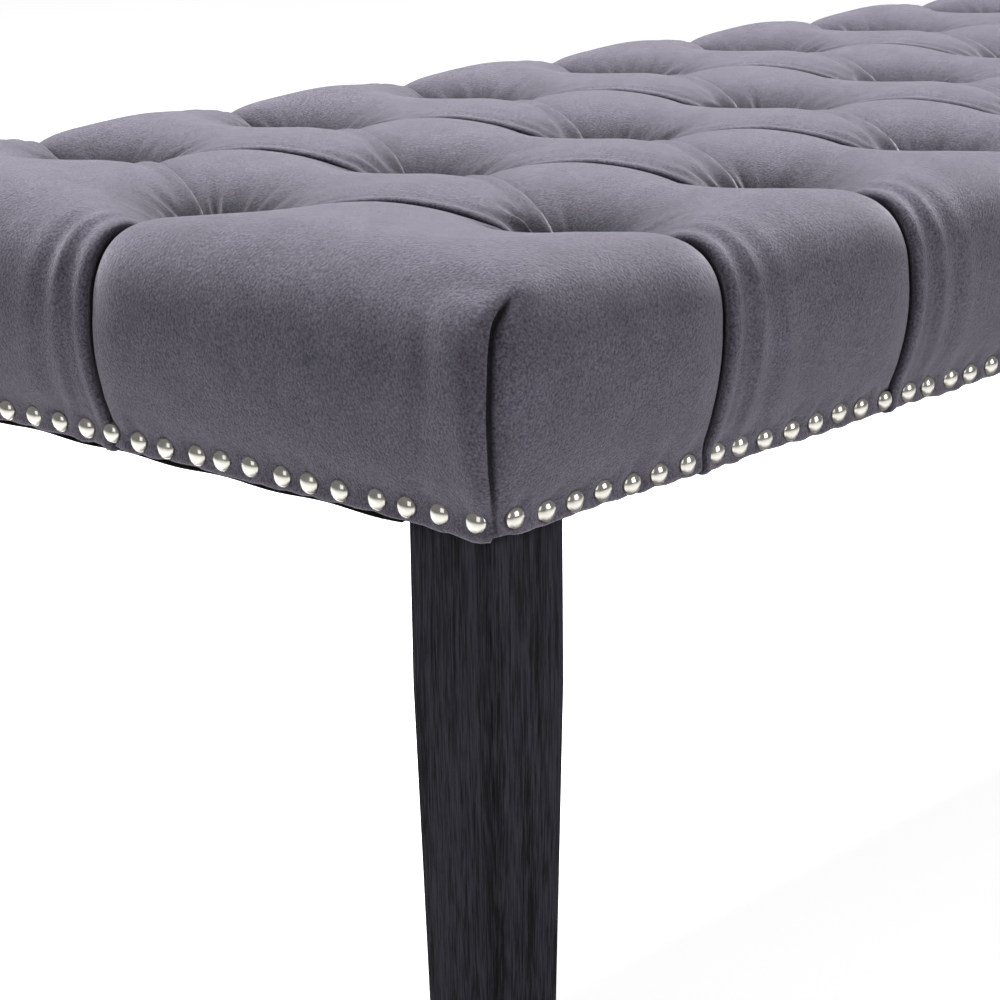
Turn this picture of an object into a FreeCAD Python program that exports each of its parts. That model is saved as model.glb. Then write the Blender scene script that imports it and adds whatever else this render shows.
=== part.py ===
import FreeCAD, Part
import math
import os
import Sketcher
from FreeCAD import Placement, Rotation, Vector

# Bench with a deep-buttoned velvet seat on four tapered wooden legs.
# The origin is on the floor under the middle of the seat.
# X runs along the length, Y towards the back and Z up. All sizes are in millimetres.

SIZES = [
    ("seat_length", 1215, "length over the cover at the nail line"),
    ("seat_width", 450, "width over the cover at the nail line"),
    ("rail_underside", 360, "height of the underside of the rails"),
    ("crest", 110, "top of the cushion above the underside of the rails"),
    ("widest", 70, "height of the widest line above the underside of the rails"),
    ("bulge", 15, "how far the sides swell past the nail line"),
    ("shoulder", 30, "how far the flat of the top lies inside the nail line"),
    ("band", 11, "straight part of the cover above the underside of the rails"),
    ("hem_radius", 4, "corner radius of the cover at the nail line"),
    ("crest_radius", 26, "corner radius of the cover at the top"),
    ("cover_wall", 1.5, "thickness of the velvet with its backing"),
    ("cover_turn_in", 25, "how far the cover is turned under the rails"),
    ("columns", 9, "tuft columns along the length"),
    ("tuft_row_inset", 72, "front and rear tuft rows inside the nail line"),
    ("tuft_depth", 40, "depth of a tuft below the crest"),
    ("tuft_mouth", 44, "radius of a tuft where it leaves the crest"),
    ("tuft_foot", 9, "radius of a tuft at its bottom"),
    ("fold_depth", 14, "depth of the folds that run from tuft to tuft"),
    ("fold_reach", 54, "half width of a fold"),
    ("pleat_depth", 9, "depth of a pleat down the side"),
    ("pleat_reach", 16, "half width of a pleat"),
    ("soft_gap", 0.3, "space left between soft layers"),
    ("frame_inset", 5, "wooden frame inside the nail line"),
    ("rail_thick", 18, "thickness of the rails and slats"),
    ("rail_tall", 40, "height of the rails"),
    ("slat_column", 1.75, "slats from the middle, in tuft columns"),
    ("slat_tall", 34, "height of the slats"),
    ("deck_thick", 9, "thickness of the plywood deck"),
    ("foam_thick", 42, "thickness of the foam"),
    ("foam_inset", 14, "foam inside the face of the cover"),
    ("foam_hole", 26, "radius of the holes in the foam"),
    ("block_reach", 60, "length of a corner block along each rail"),
    ("block_nose", 18, "width of a corner block at its ends"),
    ("block_tall", 30, "height of a corner block"),
    ("leg_top", 44.5, "width of a leg at the seat"),
    ("leg_foot", 33, "width of a leg at the floor"),
    ("leg_straight", 72, "untapered top part of a leg"),
    ("leg_inset", 10, "leg inside the nail line"),
    ("bolt_radius", 4, "hanger bolt"),
    ("bolt_in_leg", 35, "depth of the hanger bolt in the leg"),
    ("nut_flange_radius", 8.5, "flange of the tee nut"),
    ("nut_flange_thick", 1.5, "thickness of that flange"),
    ("nut_barrel_radius", 5.2, "barrel of the tee nut"),
    ("nut_barrel_tall", 9, "length of that barrel"),
    ("glide_radius", 10, "foot glide"),
    ("glide_thick", 3, "thickness of a foot glide"),
    ("glide_pin_radius", 1.5, "pin of a foot glide"),
    ("glide_pin_tall", 12, "length of that pin"),
    ("button_radius", 8, "covered button"),
    ("button_tall", 6, "height of a covered button"),
    ("button_rim", 2, "straight rim of a covered button"),
    ("twine_radius", 1, "buttoning twine"),
    ("toggle_radius", 3, "dowel that holds the twine under the deck"),
    ("toggle_long", 24, "length of that dowel"),
    ("nail_pitch", 18, "spacing of the decorative nails"),
    ("nail_height", 6, "nail line above the underside of the rails"),
    ("nail_head_radius", 4.75, "decorative nail head"),
    ("nail_head_tall", 3.2, "height of the domed head"),
    ("nail_shank_radius", 0.8, "shank of a decorative nail"),
    ("nail_shank_long", 12, "length of that shank"),
    ("nail_end_gap", 9, "least distance of a nail from a corner"),
    ("dust_cover_thick", 0.5, "black cloth under the frame"),
    ("dust_cover_inset", 8, "that cloth inside the nail line"),
    ("staple_inset", 14, "row of staples inside the nail line"),
    ("staple_pitch", 45, "longest spacing of the staples"),
    ("staple_crown", 10, "width of a staple"),
    ("staple_wire", 0.9, "wire of a staple"),
    ("staple_leg", 8, "length of a staple leg"),
    ("screw_radius", 2, "wood screw"),
    ("screw_head_radius", 4, "head of a wood screw"),
    ("screw_head_tall", 2.5, "height of that countersunk head"),
    ("frame_screw_bite", 25, "frame screw past the rail it goes through"),
    ("deck_screw_bite", 20, "deck screw past the deck"),
    ("deck_screw_pitch", 160, "longest spacing of the deck screws"),
    ("bore_gap", 0.2, "space round a fastener in its hole"),
]

doc = FreeCAD.newDocument("TuftedBench")
sheet = doc.addObject("Spreadsheet::Sheet", "Sizes")
for row, (alias, value, note) in enumerate(SIZES, 1):
    sheet.set(f"A{row}", note)
    sheet.set(f"B{row}", str(value))
    sheet.setAlias(f"B{row}", alias)
doc.recompute()
S = {alias: float(getattr(sheet, alias)) for alias, value, note in SIZES}

ALONG_X = Vector(1, 0, 0)
ALONG_Y = Vector(0, 1, 0)
UP = Vector(0, 0, 1)
COS_45 = math.sqrt(0.5)
half_length = S["seat_length"] / 2
half_width = S["seat_width"] / 2
underside = S["rail_underside"]
cover_underside = underside - S["cover_wall"]
band_z = underside + S["band"]
widest_z = underside + S["widest"]
crest_z = underside + S["crest"]
deck_z = underside + S["rail_tall"]
foam_z = deck_z + S["deck_thick"]
nail_z = underside + S["nail_height"]
tuft_z = crest_z - S["tuft_depth"]
column = S["seat_length"] / S["columns"]
nodes = []


def keep(obj, label):
    """Give a finished sub-part its label and put it on the list of pieces."""
    obj.Label = label
    nodes.append(obj)
    return obj


def piece(label, shape):
    """A sub-part whose shape is worked out here from the sheet."""
    obj = doc.addObject("Part::Feature", label)
    obj.Shape = shape
    return keep(obj, label)


def bind(obj, **expressions):
    """Bind properties to the sheet; x, y and z place the object."""
    for name, text in expressions.items():
        target = f"Placement.Base.{name}" if name in "xyz" else name
        obj.setExpression(target, text)


def loop(*edges):
    return Part.Wire([edge.toShape() for edge in edges])


# Tuft places: a row on the middle line, and a row near each long side half a column off.
tuft_y = half_width - S["tuft_row_inset"]
middle_tufts = [(column * (i + 0.5) - half_length, 0.0) for i in range(int(S["columns"]))]
side_tufts = [
    (column * i - half_length, side * tuft_y)
    for i in range(1, int(S["columns"]))
    for side in (-1, 1)
]
tufts = middle_tufts + side_tufts


def corner_radius(z):
    """The corners of the cushion grow rounder from the nail line to the crest."""
    share = max(0.0, (z - band_z) / (crest_z - band_z))
    return S["hem_radius"] + (S["crest_radius"] - S["hem_radius"]) * share


def rounded_outline(grow, radius, z):
    """The seat's outline, grown by a distance, as lines and quarter arcs."""
    x = half_length + grow - radius
    y = half_width + grow - radius
    edges = []
    corners = []
    for turn, (cx, cy) in enumerate([(x, y), (-x, y), (-x, -y), (x, -y)]):
        angles = [math.radians(90 * turn + step) for step in (0, 45, 90)]
        corners.append([Vector(cx + radius * math.cos(a), cy + radius * math.sin(a), z) for a in angles])
    for turn, points in enumerate(corners):
        edges.append(Part.Arc(*points).toShape())
        edges.append(Part.LineSegment(points[2], corners[(turn + 1) % 4][0]).toShape())
    return Part.Wire(edges)


# The side is drawn as two quarter ellipses; these are the turns at which they are sectioned.
LOWER_TURNS = (0, 30, 60, 90)
UPPER_TURNS = (22.5, 45, 67.5, 90)


def crowned_block(inset, top_z, foot_radius):
    """Crowned block with swelling sides, inside the cover's face by an inset."""
    low = [rounded_outline(-inset, foot_radius, z) for z in (cover_underside + inset, band_z)]
    sections = []
    for angle in LOWER_TURNS:
        turn = math.radians(angle)
        z = widest_z - (widest_z - band_z) * math.cos(turn)
        sections.append((z, S["bulge"] * math.sin(turn)))
    for angle in UPPER_TURNS:
        turn = math.radians(angle)
        z = widest_z + (top_z - widest_z) * math.sin(turn)
        sections.append((z, (S["bulge"] + S["shoulder"]) * math.cos(turn) - S["shoulder"]))
    outlines = []
    for z, grow in sections:
        radius = foot_radius + corner_radius(z) - S["hem_radius"]
        outlines.append(rounded_outline(grow - inset, radius, z))
    return Part.makeLoft(low, True, True).fuse(Part.makeLoft(outlines, True, False))


# How far the hollows are cut past the crest.
CLEAR_OVER = 5


def tuft_cutter(x, y, inset):
    """Trumpet-shaped hollow of one tuft, wider by the inset for an inner layer."""
    top = crest_z - inset
    foot = S["tuft_foot"] + inset
    mouth = S["tuft_mouth"] + inset
    bend = 1 - COS_45
    axis_low = Vector(x, y, top - S["tuft_depth"])
    rim_low = Vector(x + foot, y, top - S["tuft_depth"])
    rim_mid = Vector(x + foot + (mouth - foot) * bend, y, top - S["tuft_depth"] * bend)
    rim_top = Vector(x + mouth, y, top)
    lid = Vector(x + mouth, y, top + CLEAR_OVER)
    axis_top = Vector(x, y, top + CLEAR_OVER)
    outline = loop(
        Part.LineSegment(axis_low, rim_low),
        Part.Arc(rim_low, rim_mid, rim_top),
        Part.LineSegment(rim_top, lid),
        Part.LineSegment(lid, axis_top),
        Part.LineSegment(axis_top, axis_low),
    )
    return Part.Face(outline).revolve(Vector(x, y, 0), UP, 360)


def fold_cutter(start, end, inset):
    """Fold between tufts: a valley whose two flanks are arcs, so the pillows stay round."""
    top = crest_z - inset
    run = Vector(end[0] - start[0], end[1] - start[1], 0)
    side = UP.cross(run).normalize()
    reach = S["fold_reach"] + inset
    bend = 1 - COS_45

    def at(across, height):
        return Vector(start[0], start[1], top) + side * across + UP * height

    outline = loop(
        Part.Arc(at(0, -S["fold_depth"]), at(reach * bend, -S["fold_depth"] * bend), at(reach, 0)),
        Part.LineSegment(at(reach, 0), at(reach, CLEAR_OVER)),
        Part.LineSegment(at(reach, CLEAR_OVER), at(-reach, CLEAR_OVER)),
        Part.LineSegment(at(-reach, CLEAR_OVER), at(-reach, 0)),
        Part.Arc(at(-reach, 0), at(-reach * bend, -S["fold_depth"] * bend), at(0, -S["fold_depth"])),
    )
    return Part.Face(outline).extrude(run)


def fold_lines():
    """Straight fold lines that pass through the tufts, one pair for each column."""
    last = half_length - column / 2
    lines = []
    for x, y in middle_tufts:
        for lean in (-1, 1):
            ends = []
            for side in (-1, 1):
                far = x + lean * side * column / 2
                inside = abs(far) < last
                ends.append((far, side * tuft_y) if inside else (x, 0.0))
            lines.append(ends)
    return lines


# A pleat is cut this far past the face, starts this far under the band's top, has its rims this
# far outside the face, and is this shallow at its foot.
PLEAT_OUT = 8
PLEAT_START = 8
PLEAT_RIM = 1
PLEAT_FOOT_SHARE = 0.4


def pleat_cutter(foot, out, along, reach_in, inset):
    """Pleat from a tuft over the shoulder and down the side to the nail line."""
    low_z = band_z - PLEAT_START - inset
    mid_z = widest_z - (widest_z - band_z) * COS_45
    round_z = widest_z + (crest_z - widest_z) * COS_45
    round_out = (S["bulge"] + S["shoulder"]) * COS_45 - S["shoulder"]

    def path(across, high, low):
        def at(distance, z):
            return foot + along * across + out * distance + UP * z

        lift = high * COS_45
        return [
            at(low, low_z),
            at(S["bulge"] * COS_45 + (high + low) / 2, mid_z),
            at(S["bulge"] + high, widest_z),
            at(round_out + lift, round_z + lift),
            at(-S["shoulder"], crest_z + high),
            at(-reach_in, crest_z + high),
        ]

    def section(across, high, low):
        outer = path(across, PLEAT_OUT, PLEAT_OUT)
        inner = path(across, high, low)
        return loop(
            Part.Arc(*outer[0:3]),
            Part.Arc(*outer[2:5]),
            Part.LineSegment(outer[4], outer[5]),
            Part.LineSegment(outer[5], inner[5]),
            Part.LineSegment(inner[5], inner[4]),
            Part.Arc(inner[4], inner[3], inner[2]),
            Part.Arc(inner[2], inner[1], inner[0]),
            Part.LineSegment(inner[0], outer[0]),
        )

    half = S["pleat_reach"] + inset
    depth = S["pleat_depth"]
    sections = [
        section(-half, PLEAT_RIM, PLEAT_RIM),
        section(0, -depth - inset, -depth * PLEAT_FOOT_SHARE - inset),
        section(half, PLEAT_RIM, PLEAT_RIM),
    ]
    return Part.makeLoft(sections, True, True)


def cushion_cutters(inset):
    """All hollows of the buttoned seat that touch the quarter with positive X and Y."""
    cutters = [tuft_cutter(x, y, inset) for x, y in tufts if x >= 0 and y >= 0]
    for start, end in fold_lines():
        if max(start[0], end[0]) > 0:
            cutters.append(fold_cutter(start, end, inset))
    for x, y in side_tufts:
        if x > 0 and y > 0:
            foot = Vector(x, half_width, 0)
            cutters.append(pleat_cutter(foot, ALONG_Y, ALONG_X, S["tuft_row_inset"], inset))
    foot = Vector(half_length, 0, 0)
    cutters.append(pleat_cutter(foot, ALONG_X, ALONG_Y, column / 2, inset))
    return cutters


def quarter_cushion(inset):
    """The buttoned form in one quarter; the seat is alike in all four."""
    radius = S["hem_radius"] - inset
    block = crowned_block(inset, crest_z - inset, radius)
    quarter = Part.makeBox(half_length * 2, half_width * 2, crest_z * 2)
    return block.common(quarter).cut(cushion_cutters(inset))


ON_SEAM = 1e-6


def four_quarters(quarter):
    """Mirror a quarter into the whole seat and sew it up without the inner seams."""
    skin = []
    for face in quarter.Faces:
        middle = face.CenterOfMass
        box = face.BoundBox
        on_seam = (box.XLength < ON_SEAM and abs(middle.x) < ON_SEAM) or (
            box.YLength < ON_SEAM and abs(middle.y) < ON_SEAM)
        if not on_seam:
            skin.append(face)
    half = skin + [face.mirror(Vector(), ALONG_X) for face in skin]
    whole = half + [face.mirror(Vector(), ALONG_Y) for face in half]
    sewn = Part.makeShell(whole)
    sewn.sewShape()
    solid = Part.makeSolid(sewn)
    if solid.Volume < 0:
        solid.reverse()
    return solid


def pin(radius, length, base, direction=UP):
    return Part.makeCylinder(radius, length, base, direction)


# Nail places: evenly spaced along each side and as many as the side holds.
def row_of(length, pitch, end_gap):
    """Places along a side, centred, with the given pitch."""
    count = int((length - 2 * end_gap) / pitch + 1e-6) + 1
    return [(i - (count - 1) / 2) * pitch for i in range(count)]


def spread(length, longest, end_gap):
    """Places along a side between two ends, no further apart than the longest spacing."""
    run = length - 2 * end_gap
    gaps = max(1, math.ceil(run / longest))
    return [run * (i / gaps - 0.5) for i in range(gaps + 1)]


long_nails = row_of(S["seat_length"], S["nail_pitch"], S["nail_end_gap"])
end_nails = row_of(S["seat_width"], S["nail_pitch"], S["nail_end_gap"])
nail_rows = {
    "front_nails": [(Vector(x, -half_width, nail_z), -ALONG_Y) for x in long_nails],
    "rear_nails": [(Vector(x, half_width, nail_z), ALONG_Y) for x in long_nails],
    "left_nails": [(Vector(-half_length, y, nail_z), -ALONG_X) for y in end_nails],
    "right_nails": [(Vector(half_length, y, nail_z), ALONG_X) for y in end_nails],
}

# Staple places under the rails, clear of the legs. Each has its direction along the rail.
leg_span = S["leg_inset"] + S["leg_top"]
staple_end = leg_span + S["staple_crown"]
staple_places = []
for x in spread(S["seat_length"], S["staple_pitch"], staple_end):
    for side in (-1, 1):
        staple_places.append((Vector(x, side * (half_width - S["staple_inset"]), 0), ALONG_X))
for y in spread(S["seat_width"], S["staple_pitch"], staple_end):
    for side in (-1, 1):
        staple_places.append((Vector(side * (half_length - S["staple_inset"]), y, 0), ALONG_Y))

# Screw places. A frame screw goes in from the outer face of a rail; a deck screw from above.
# Shares of a block's length and of a rail's height keep the screws of two rails apart.
BLOCK_SCREW_SHARES = (0.36, 0.78)
LONG_SCREW_SHARE = 0.35
JOINT_SCREW_SHARE = 0.5
END_SCREW_SHARE = 0.65
frame_x = half_length - S["frame_inset"]
frame_y = half_width - S["frame_inset"]
block_screws = [S["rail_thick"] + S["block_reach"] * share for share in BLOCK_SCREW_SHARES]
long_screw_z = underside + S["rail_tall"] * LONG_SCREW_SHARE
joint_screw_z = underside + S["rail_tall"] * JOINT_SCREW_SHARE
end_screw_z = underside + S["rail_tall"] * END_SCREW_SHARE
frame_screws = []
for sx in (-1, 1):
    for sy in (-1, 1):
        for run in block_screws:
            in_long = Vector(sx * (frame_x - run), sy * frame_y, long_screw_z)
            in_end = Vector(sx * frame_x, sy * (frame_y - run), end_screw_z)
            frame_screws += [(in_long, ALONG_Y * -sy), (in_end, ALONG_X * -sx)]
        joint = Vector(sx * (frame_x - S["rail_thick"] / 2), sy * frame_y, joint_screw_z)
        frame_screws.append((joint, ALONG_Y * -sy))
deck_screw_end = S["rail_thick"] + S["block_reach"]
rail_middle = S["rail_thick"] / 2
deck_screws = []
for x in spread(2 * frame_x, S["deck_screw_pitch"], deck_screw_end):
    deck_screws += [(Vector(x, side * (frame_y - rail_middle), foam_z), -UP) for side in (-1, 1)]
for y in spread(2 * frame_y, S["deck_screw_pitch"], deck_screw_end):
    deck_screws += [(Vector(side * (frame_x - rail_middle), y, foam_z), -UP) for side in (-1, 1)]


def screw(place, direction, length, gap):
    """Countersunk wood screw from a face into the wood, or its hole when a gap is given."""
    head = Part.makeCone(
        S["screw_head_radius"] + gap, S["screw_radius"] + gap, S["screw_head_tall"], place, direction)
    neck = place + direction * S["screw_head_tall"]
    shank = pin(S["screw_radius"] + gap, length - S["screw_head_tall"] + gap, neck, direction)
    return head.fuse(shank)


frame_screw_long = S["rail_thick"] + S["frame_screw_bite"]
deck_screw_long = S["deck_thick"] + S["deck_screw_bite"]

# Holes that the fasteners need, cut from every wooden piece that they pass through.
gap = S["bore_gap"]
nail_bores = []
for row in nail_rows.values():
    for place, out in row:
        nail_bores.append(pin(S["nail_shank_radius"] + gap, S["nail_shank_long"] + gap, place, -out))
staple_bores = []
for place, along in staple_places:
    for side in (-1, 1):
        foot = place + along * (side * (S["staple_crown"] - S["staple_wire"]) / 2)
        foot.z = cover_underside - S["dust_cover_thick"]
        staple_bores.append(pin(S["staple_wire"] / 2 + gap, S["staple_leg"] + gap, foot))
screw_bores = [screw(place, way, frame_screw_long, gap) for place, way in frame_screws]
screw_bores += [screw(place, way, deck_screw_long, gap) for place, way in deck_screws]
twine_bores = [pin(S["twine_radius"] + gap, crest_z, Vector(x, y, underside)) for x, y in tufts]

fastener_bores = doc.addObject("Part::Feature", "fastener_bores")
fastener_bores.Shape = Part.makeCompound(nail_bores + staple_bores + screw_bores)
twine_bore_set = doc.addObject("Part::Feature", "twine_bore_set")
twine_bore_set.Shape = Part.makeCompound(twine_bores)


def board(label, bores, **expressions):
    """Board sawn to the sizes in the sheet and drilled with a set of holes."""
    blank = doc.addObject("Part::Box", label + "_blank")
    bind(blank, **expressions)
    drilled = doc.addObject("Part::Cut", label)
    drilled.Base = blank
    drilled.Tool = bores
    return keep(drilled, label)


FRAME_X = "Sizes.seat_length / 2 - Sizes.frame_inset"
FRAME_Y = "Sizes.seat_width / 2 - Sizes.frame_inset"

# Wooden frame: two long rails, and two end rails between them.
long_places = {"front_rail": f"-({FRAME_Y})", "rear_rail": f"{FRAME_Y} - Sizes.rail_thick"}
for label, place in long_places.items():
    board(
        label, fastener_bores,
        Length=f"2 * ({FRAME_X})", Width="Sizes.rail_thick", Height="Sizes.rail_tall",
        x=f"-({FRAME_X})", y=place, z="Sizes.rail_underside",
    )
end_places = {"left_end_rail": f"-({FRAME_X})", "right_end_rail": f"{FRAME_X} - Sizes.rail_thick"}
for label, place in end_places.items():
    board(
        label, fastener_bores,
        Length="Sizes.rail_thick", Width=f"2 * ({FRAME_Y} - Sizes.rail_thick)", Height="Sizes.rail_tall",
        x=place, y=f"-({FRAME_Y} - Sizes.rail_thick)", z="Sizes.rail_underside",
    )

# Two slats under the deck, set between the tufts so that the twines miss them.
SLAT_X = "Sizes.slat_column * Sizes.seat_length / Sizes.columns"
for label, side in (("left_cross_slat", "-1"), ("right_cross_slat", "1")):
    slat = doc.addObject("Part::Box", label)
    bind(
        slat,
        Length="Sizes.rail_thick", Width=f"2 * ({FRAME_Y} - Sizes.rail_thick)", Height="Sizes.slat_tall",
        x=f"{side} * {SLAT_X} - Sizes.rail_thick / 2", y=f"-({FRAME_Y} - Sizes.rail_thick)",
        z="Sizes.rail_underside + Sizes.rail_tall - Sizes.slat_tall",
    )
    keep(slat, label)

# Plywood deck, drilled for its screws and for the twines of the buttons.
deck_bores = doc.addObject("Part::Compound", "deck_bores")
deck_bores.Links = [fastener_bores, twine_bore_set]
board(
    "seat_deck", deck_bores,
    Length=f"2 * ({FRAME_X})", Width=f"2 * ({FRAME_Y})", Height="Sizes.deck_thick",
    x=f"-({FRAME_X})", y=f"-({FRAME_Y})", z="Sizes.rail_underside + Sizes.rail_tall",
)


# A sketch is drawn at these sizes before the sheet sets its own.
DRAWN_HALF = 9
DRAWN_RADIUS = 3


def origin_plane(body, role):
    return next(plane for plane in body.Origin.OriginFeatures if plane.Role == role)


def flat_sketch(body, name, height):
    """Sketch level with the floor at a height given by an expression."""
    sketch = body.newObject("Sketcher::SketchObject", name)
    sketch.AttachmentSupport = (origin_plane(body, "XY_Plane"), [""])
    sketch.MapMode = "FlatFace"
    sketch.setExpression("AttachmentOffset.Base.z", height)
    return sketch


def square_sketch(body, name, height, width):
    """Square centred on the axis of its body."""
    sketch = flat_sketch(body, name, height)
    corners = [Vector(x * DRAWN_HALF, y * DRAWN_HALF, 0) for x, y in ((-1, -1), (1, -1), (1, 1), (-1, 1))]
    for i in range(4):
        sketch.addGeometry(Part.LineSegment(corners[i], corners[(i + 1) % 4]), False)
    for i in range(4):
        sketch.addConstraint(Sketcher.Constraint("Coincident", i, 2, (i + 1) % 4, 1))
    for i in (0, 2):
        sketch.addConstraint(Sketcher.Constraint("Horizontal", i))
        sketch.addConstraint(Sketcher.Constraint("Vertical", i + 1))
    sketch.addConstraint(Sketcher.Constraint("Symmetric", 0, 1, 1, 2, -1, 1))
    wide = sketch.addConstraint(Sketcher.Constraint("DistanceX", 0, 1, 0, 2, 2 * DRAWN_HALF))
    deep = sketch.addConstraint(Sketcher.Constraint("DistanceY", 1, 1, 1, 2, 2 * DRAWN_HALF))
    sketch.setExpression(f"Constraints[{wide}]", width)
    sketch.setExpression(f"Constraints[{deep}]", width)
    return sketch


def circle_sketch(body, name, height, radius):
    """Circle centred on the axis of its body."""
    sketch = flat_sketch(body, name, height)
    sketch.addGeometry(Part.Circle(Vector(), UP, DRAWN_RADIUS), False)
    sketch.addConstraint(Sketcher.Constraint("Coincident", 0, 3, -1, 1))
    size = sketch.addConstraint(Sketcher.Constraint("Radius", 0, DRAWN_RADIUS))
    sketch.setExpression(f"Constraints[{size}]", radius)
    return sketch


def pad(body, sketch, length):
    feature = body.newObject("PartDesign::Pad", sketch.Name + "_pad")
    feature.Profile = sketch
    feature.setExpression("Length", length)
    return feature


def pocket(body, sketch, length, upwards):
    feature = body.newObject("PartDesign::Pocket", sketch.Name + "_pocket")
    feature.Profile = sketch
    feature.Reversed = upwards
    feature.setExpression("Length", length)
    return feature


LEG_SEAT = "(Sizes.rail_underside - Sizes.cover_wall)"


def leg(label, glide_label, sx, sy):
    """Square leg, straight under the seat and then tapered on all four sides, and its glide."""
    body = doc.addObject("PartDesign::Body", label)
    top = square_sketch(body, label + "_top", LEG_SEAT, "Sizes.leg_top")
    block = pad(body, top, "Sizes.leg_straight")
    block.Reversed = True
    knee = square_sketch(body, label + "_knee", f"{LEG_SEAT} - Sizes.leg_straight", "Sizes.leg_top")
    foot = square_sketch(body, label + "_foot", "Sizes.glide_thick", "Sizes.leg_foot")
    taper = body.newObject("PartDesign::AdditiveLoft", label + "_taper")
    taper.Profile = knee
    taper.Sections = [foot]
    taper.Ruled = True
    bolt = circle_sketch(body, label + "_bolt", LEG_SEAT, "Sizes.bolt_radius + Sizes.bore_gap")
    pocket(body, bolt, "Sizes.bolt_in_leg + Sizes.bore_gap", False)
    tip_radius = "Sizes.glide_pin_radius + Sizes.bore_gap"
    tip = circle_sketch(body, label + "_tip", "Sizes.glide_thick", tip_radius)
    pocket(body, tip, "Sizes.glide_pin_tall + Sizes.bore_gap", True)
    x = f"{sx} * (Sizes.seat_length / 2 - Sizes.leg_inset - Sizes.leg_top / 2)"
    y = f"{sy} * (Sizes.seat_width / 2 - Sizes.leg_inset - Sizes.leg_top / 2)"
    bind(body, x=x, y=y)
    keep(body, label)

    glide = doc.addObject("PartDesign::Body", glide_label)
    disc = circle_sketch(glide, glide_label + "_disc", "0", "Sizes.glide_radius")
    pad(glide, disc, "Sizes.glide_thick")
    stem = circle_sketch(glide, glide_label + "_stem", "Sizes.glide_thick", "Sizes.glide_pin_radius")
    pad(glide, stem, "Sizes.glide_pin_tall")
    bind(glide, x=x, y=y)
    keep(glide, glide_label)


CORNERS = [("front_left", -1, -1), ("front_right", 1, -1), ("rear_right", 1, 1), ("rear_left", -1, 1)]
for place, sx, sy in CORNERS:
    leg(f"{place}_leg", f"{place}_glide", sx, sy)


def corner_block(label, turn, sx, sy):
    """Five-sided glue block in a corner of the frame, bored for the leg's bolt and its nut."""
    body = doc.addObject("PartDesign::Body", label + "_blank")
    sketch = flat_sketch(body, label + "_plan", "Sizes.rail_underside")
    reach, nose = S["block_reach"], S["block_nose"]
    plan = [(0, 0), (reach, 0), (reach, nose), (nose, reach), (0, reach)]
    for i, (x, y) in enumerate(plan):
        x_next, y_next = plan[(i + 1) % 5]
        sketch.addGeometry(Part.LineSegment(Vector(x, y, 0), Vector(x_next, y_next, 0)), False)
    for i in range(5):
        sketch.addConstraint(Sketcher.Constraint("Coincident", i, 2, (i + 1) % 5, 1))
    sketch.addConstraint(Sketcher.Constraint("Coincident", 0, 1, -1, 1))
    for edge, direction in ((0, "Horizontal"), (3, "Horizontal"), (1, "Vertical"), (4, "Vertical")):
        sketch.addConstraint(Sketcher.Constraint(direction, edge))
    for kind, edge, size, alias in (
        ("DistanceX", 0, reach, "block_reach"),
        ("DistanceY", 1, nose, "block_nose"),
    ):
        index = sketch.addConstraint(Sketcher.Constraint(kind, edge, 1, edge, 2, size))
        sketch.setExpression(f"Constraints[{index}]", f"Sizes.{alias}")
    for kind, start, size, alias in (
        ("DistanceY", 4, reach, "block_reach"),
        ("DistanceX", 3, nose, "block_nose"),
    ):
        index = sketch.addConstraint(Sketcher.Constraint(kind, start, 2, start, 1, size))
        sketch.setExpression(f"Constraints[{index}]", f"Sizes.{alias}")
    pad(body, sketch, "Sizes.block_tall")
    axis = "Sizes.leg_inset + Sizes.leg_top / 2 - Sizes.frame_inset - Sizes.rail_thick"
    block_top = "Sizes.rail_underside + Sizes.block_tall"
    bores = (
        ("bolt", "Sizes.bolt_radius + Sizes.bore_gap", "Sizes.block_tall"),
        ("barrel", "Sizes.nut_barrel_radius + Sizes.bore_gap", "Sizes.nut_barrel_tall"),
    )
    for name, radius, depth in bores:
        bore = flat_sketch(body, f"{label}_{name}", block_top)
        bore.addGeometry(Part.Circle(Vector(DRAWN_HALF, DRAWN_HALF, 0), UP, DRAWN_RADIUS), False)
        size = bore.addConstraint(Sketcher.Constraint("Radius", 0, DRAWN_RADIUS))
        bore.setExpression(f"Constraints[{size}]", radius)
        for kind in ("DistanceX", "DistanceY"):
            index = bore.addConstraint(Sketcher.Constraint(kind, -1, 1, 0, 3, DRAWN_HALF))
            bore.setExpression(f"Constraints[{index}]", axis)
        pocket(body, bore, depth, False)
    body.Placement = Placement(Vector(), Rotation(UP, turn))
    bind(body, x=f"{sx} * ({FRAME_X} - Sizes.rail_thick)", y=f"{sy} * ({FRAME_Y} - Sizes.rail_thick)")
    drilled = doc.addObject("Part::Cut", label)
    drilled.Base = body
    drilled.Tool = fastener_bores
    keep(drilled, label)


for quarter_turn, (place, sx, sy) in enumerate(CORNERS):
    corner_block(f"{place}_corner_block", 90 * quarter_turn, sx, sy)

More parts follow.
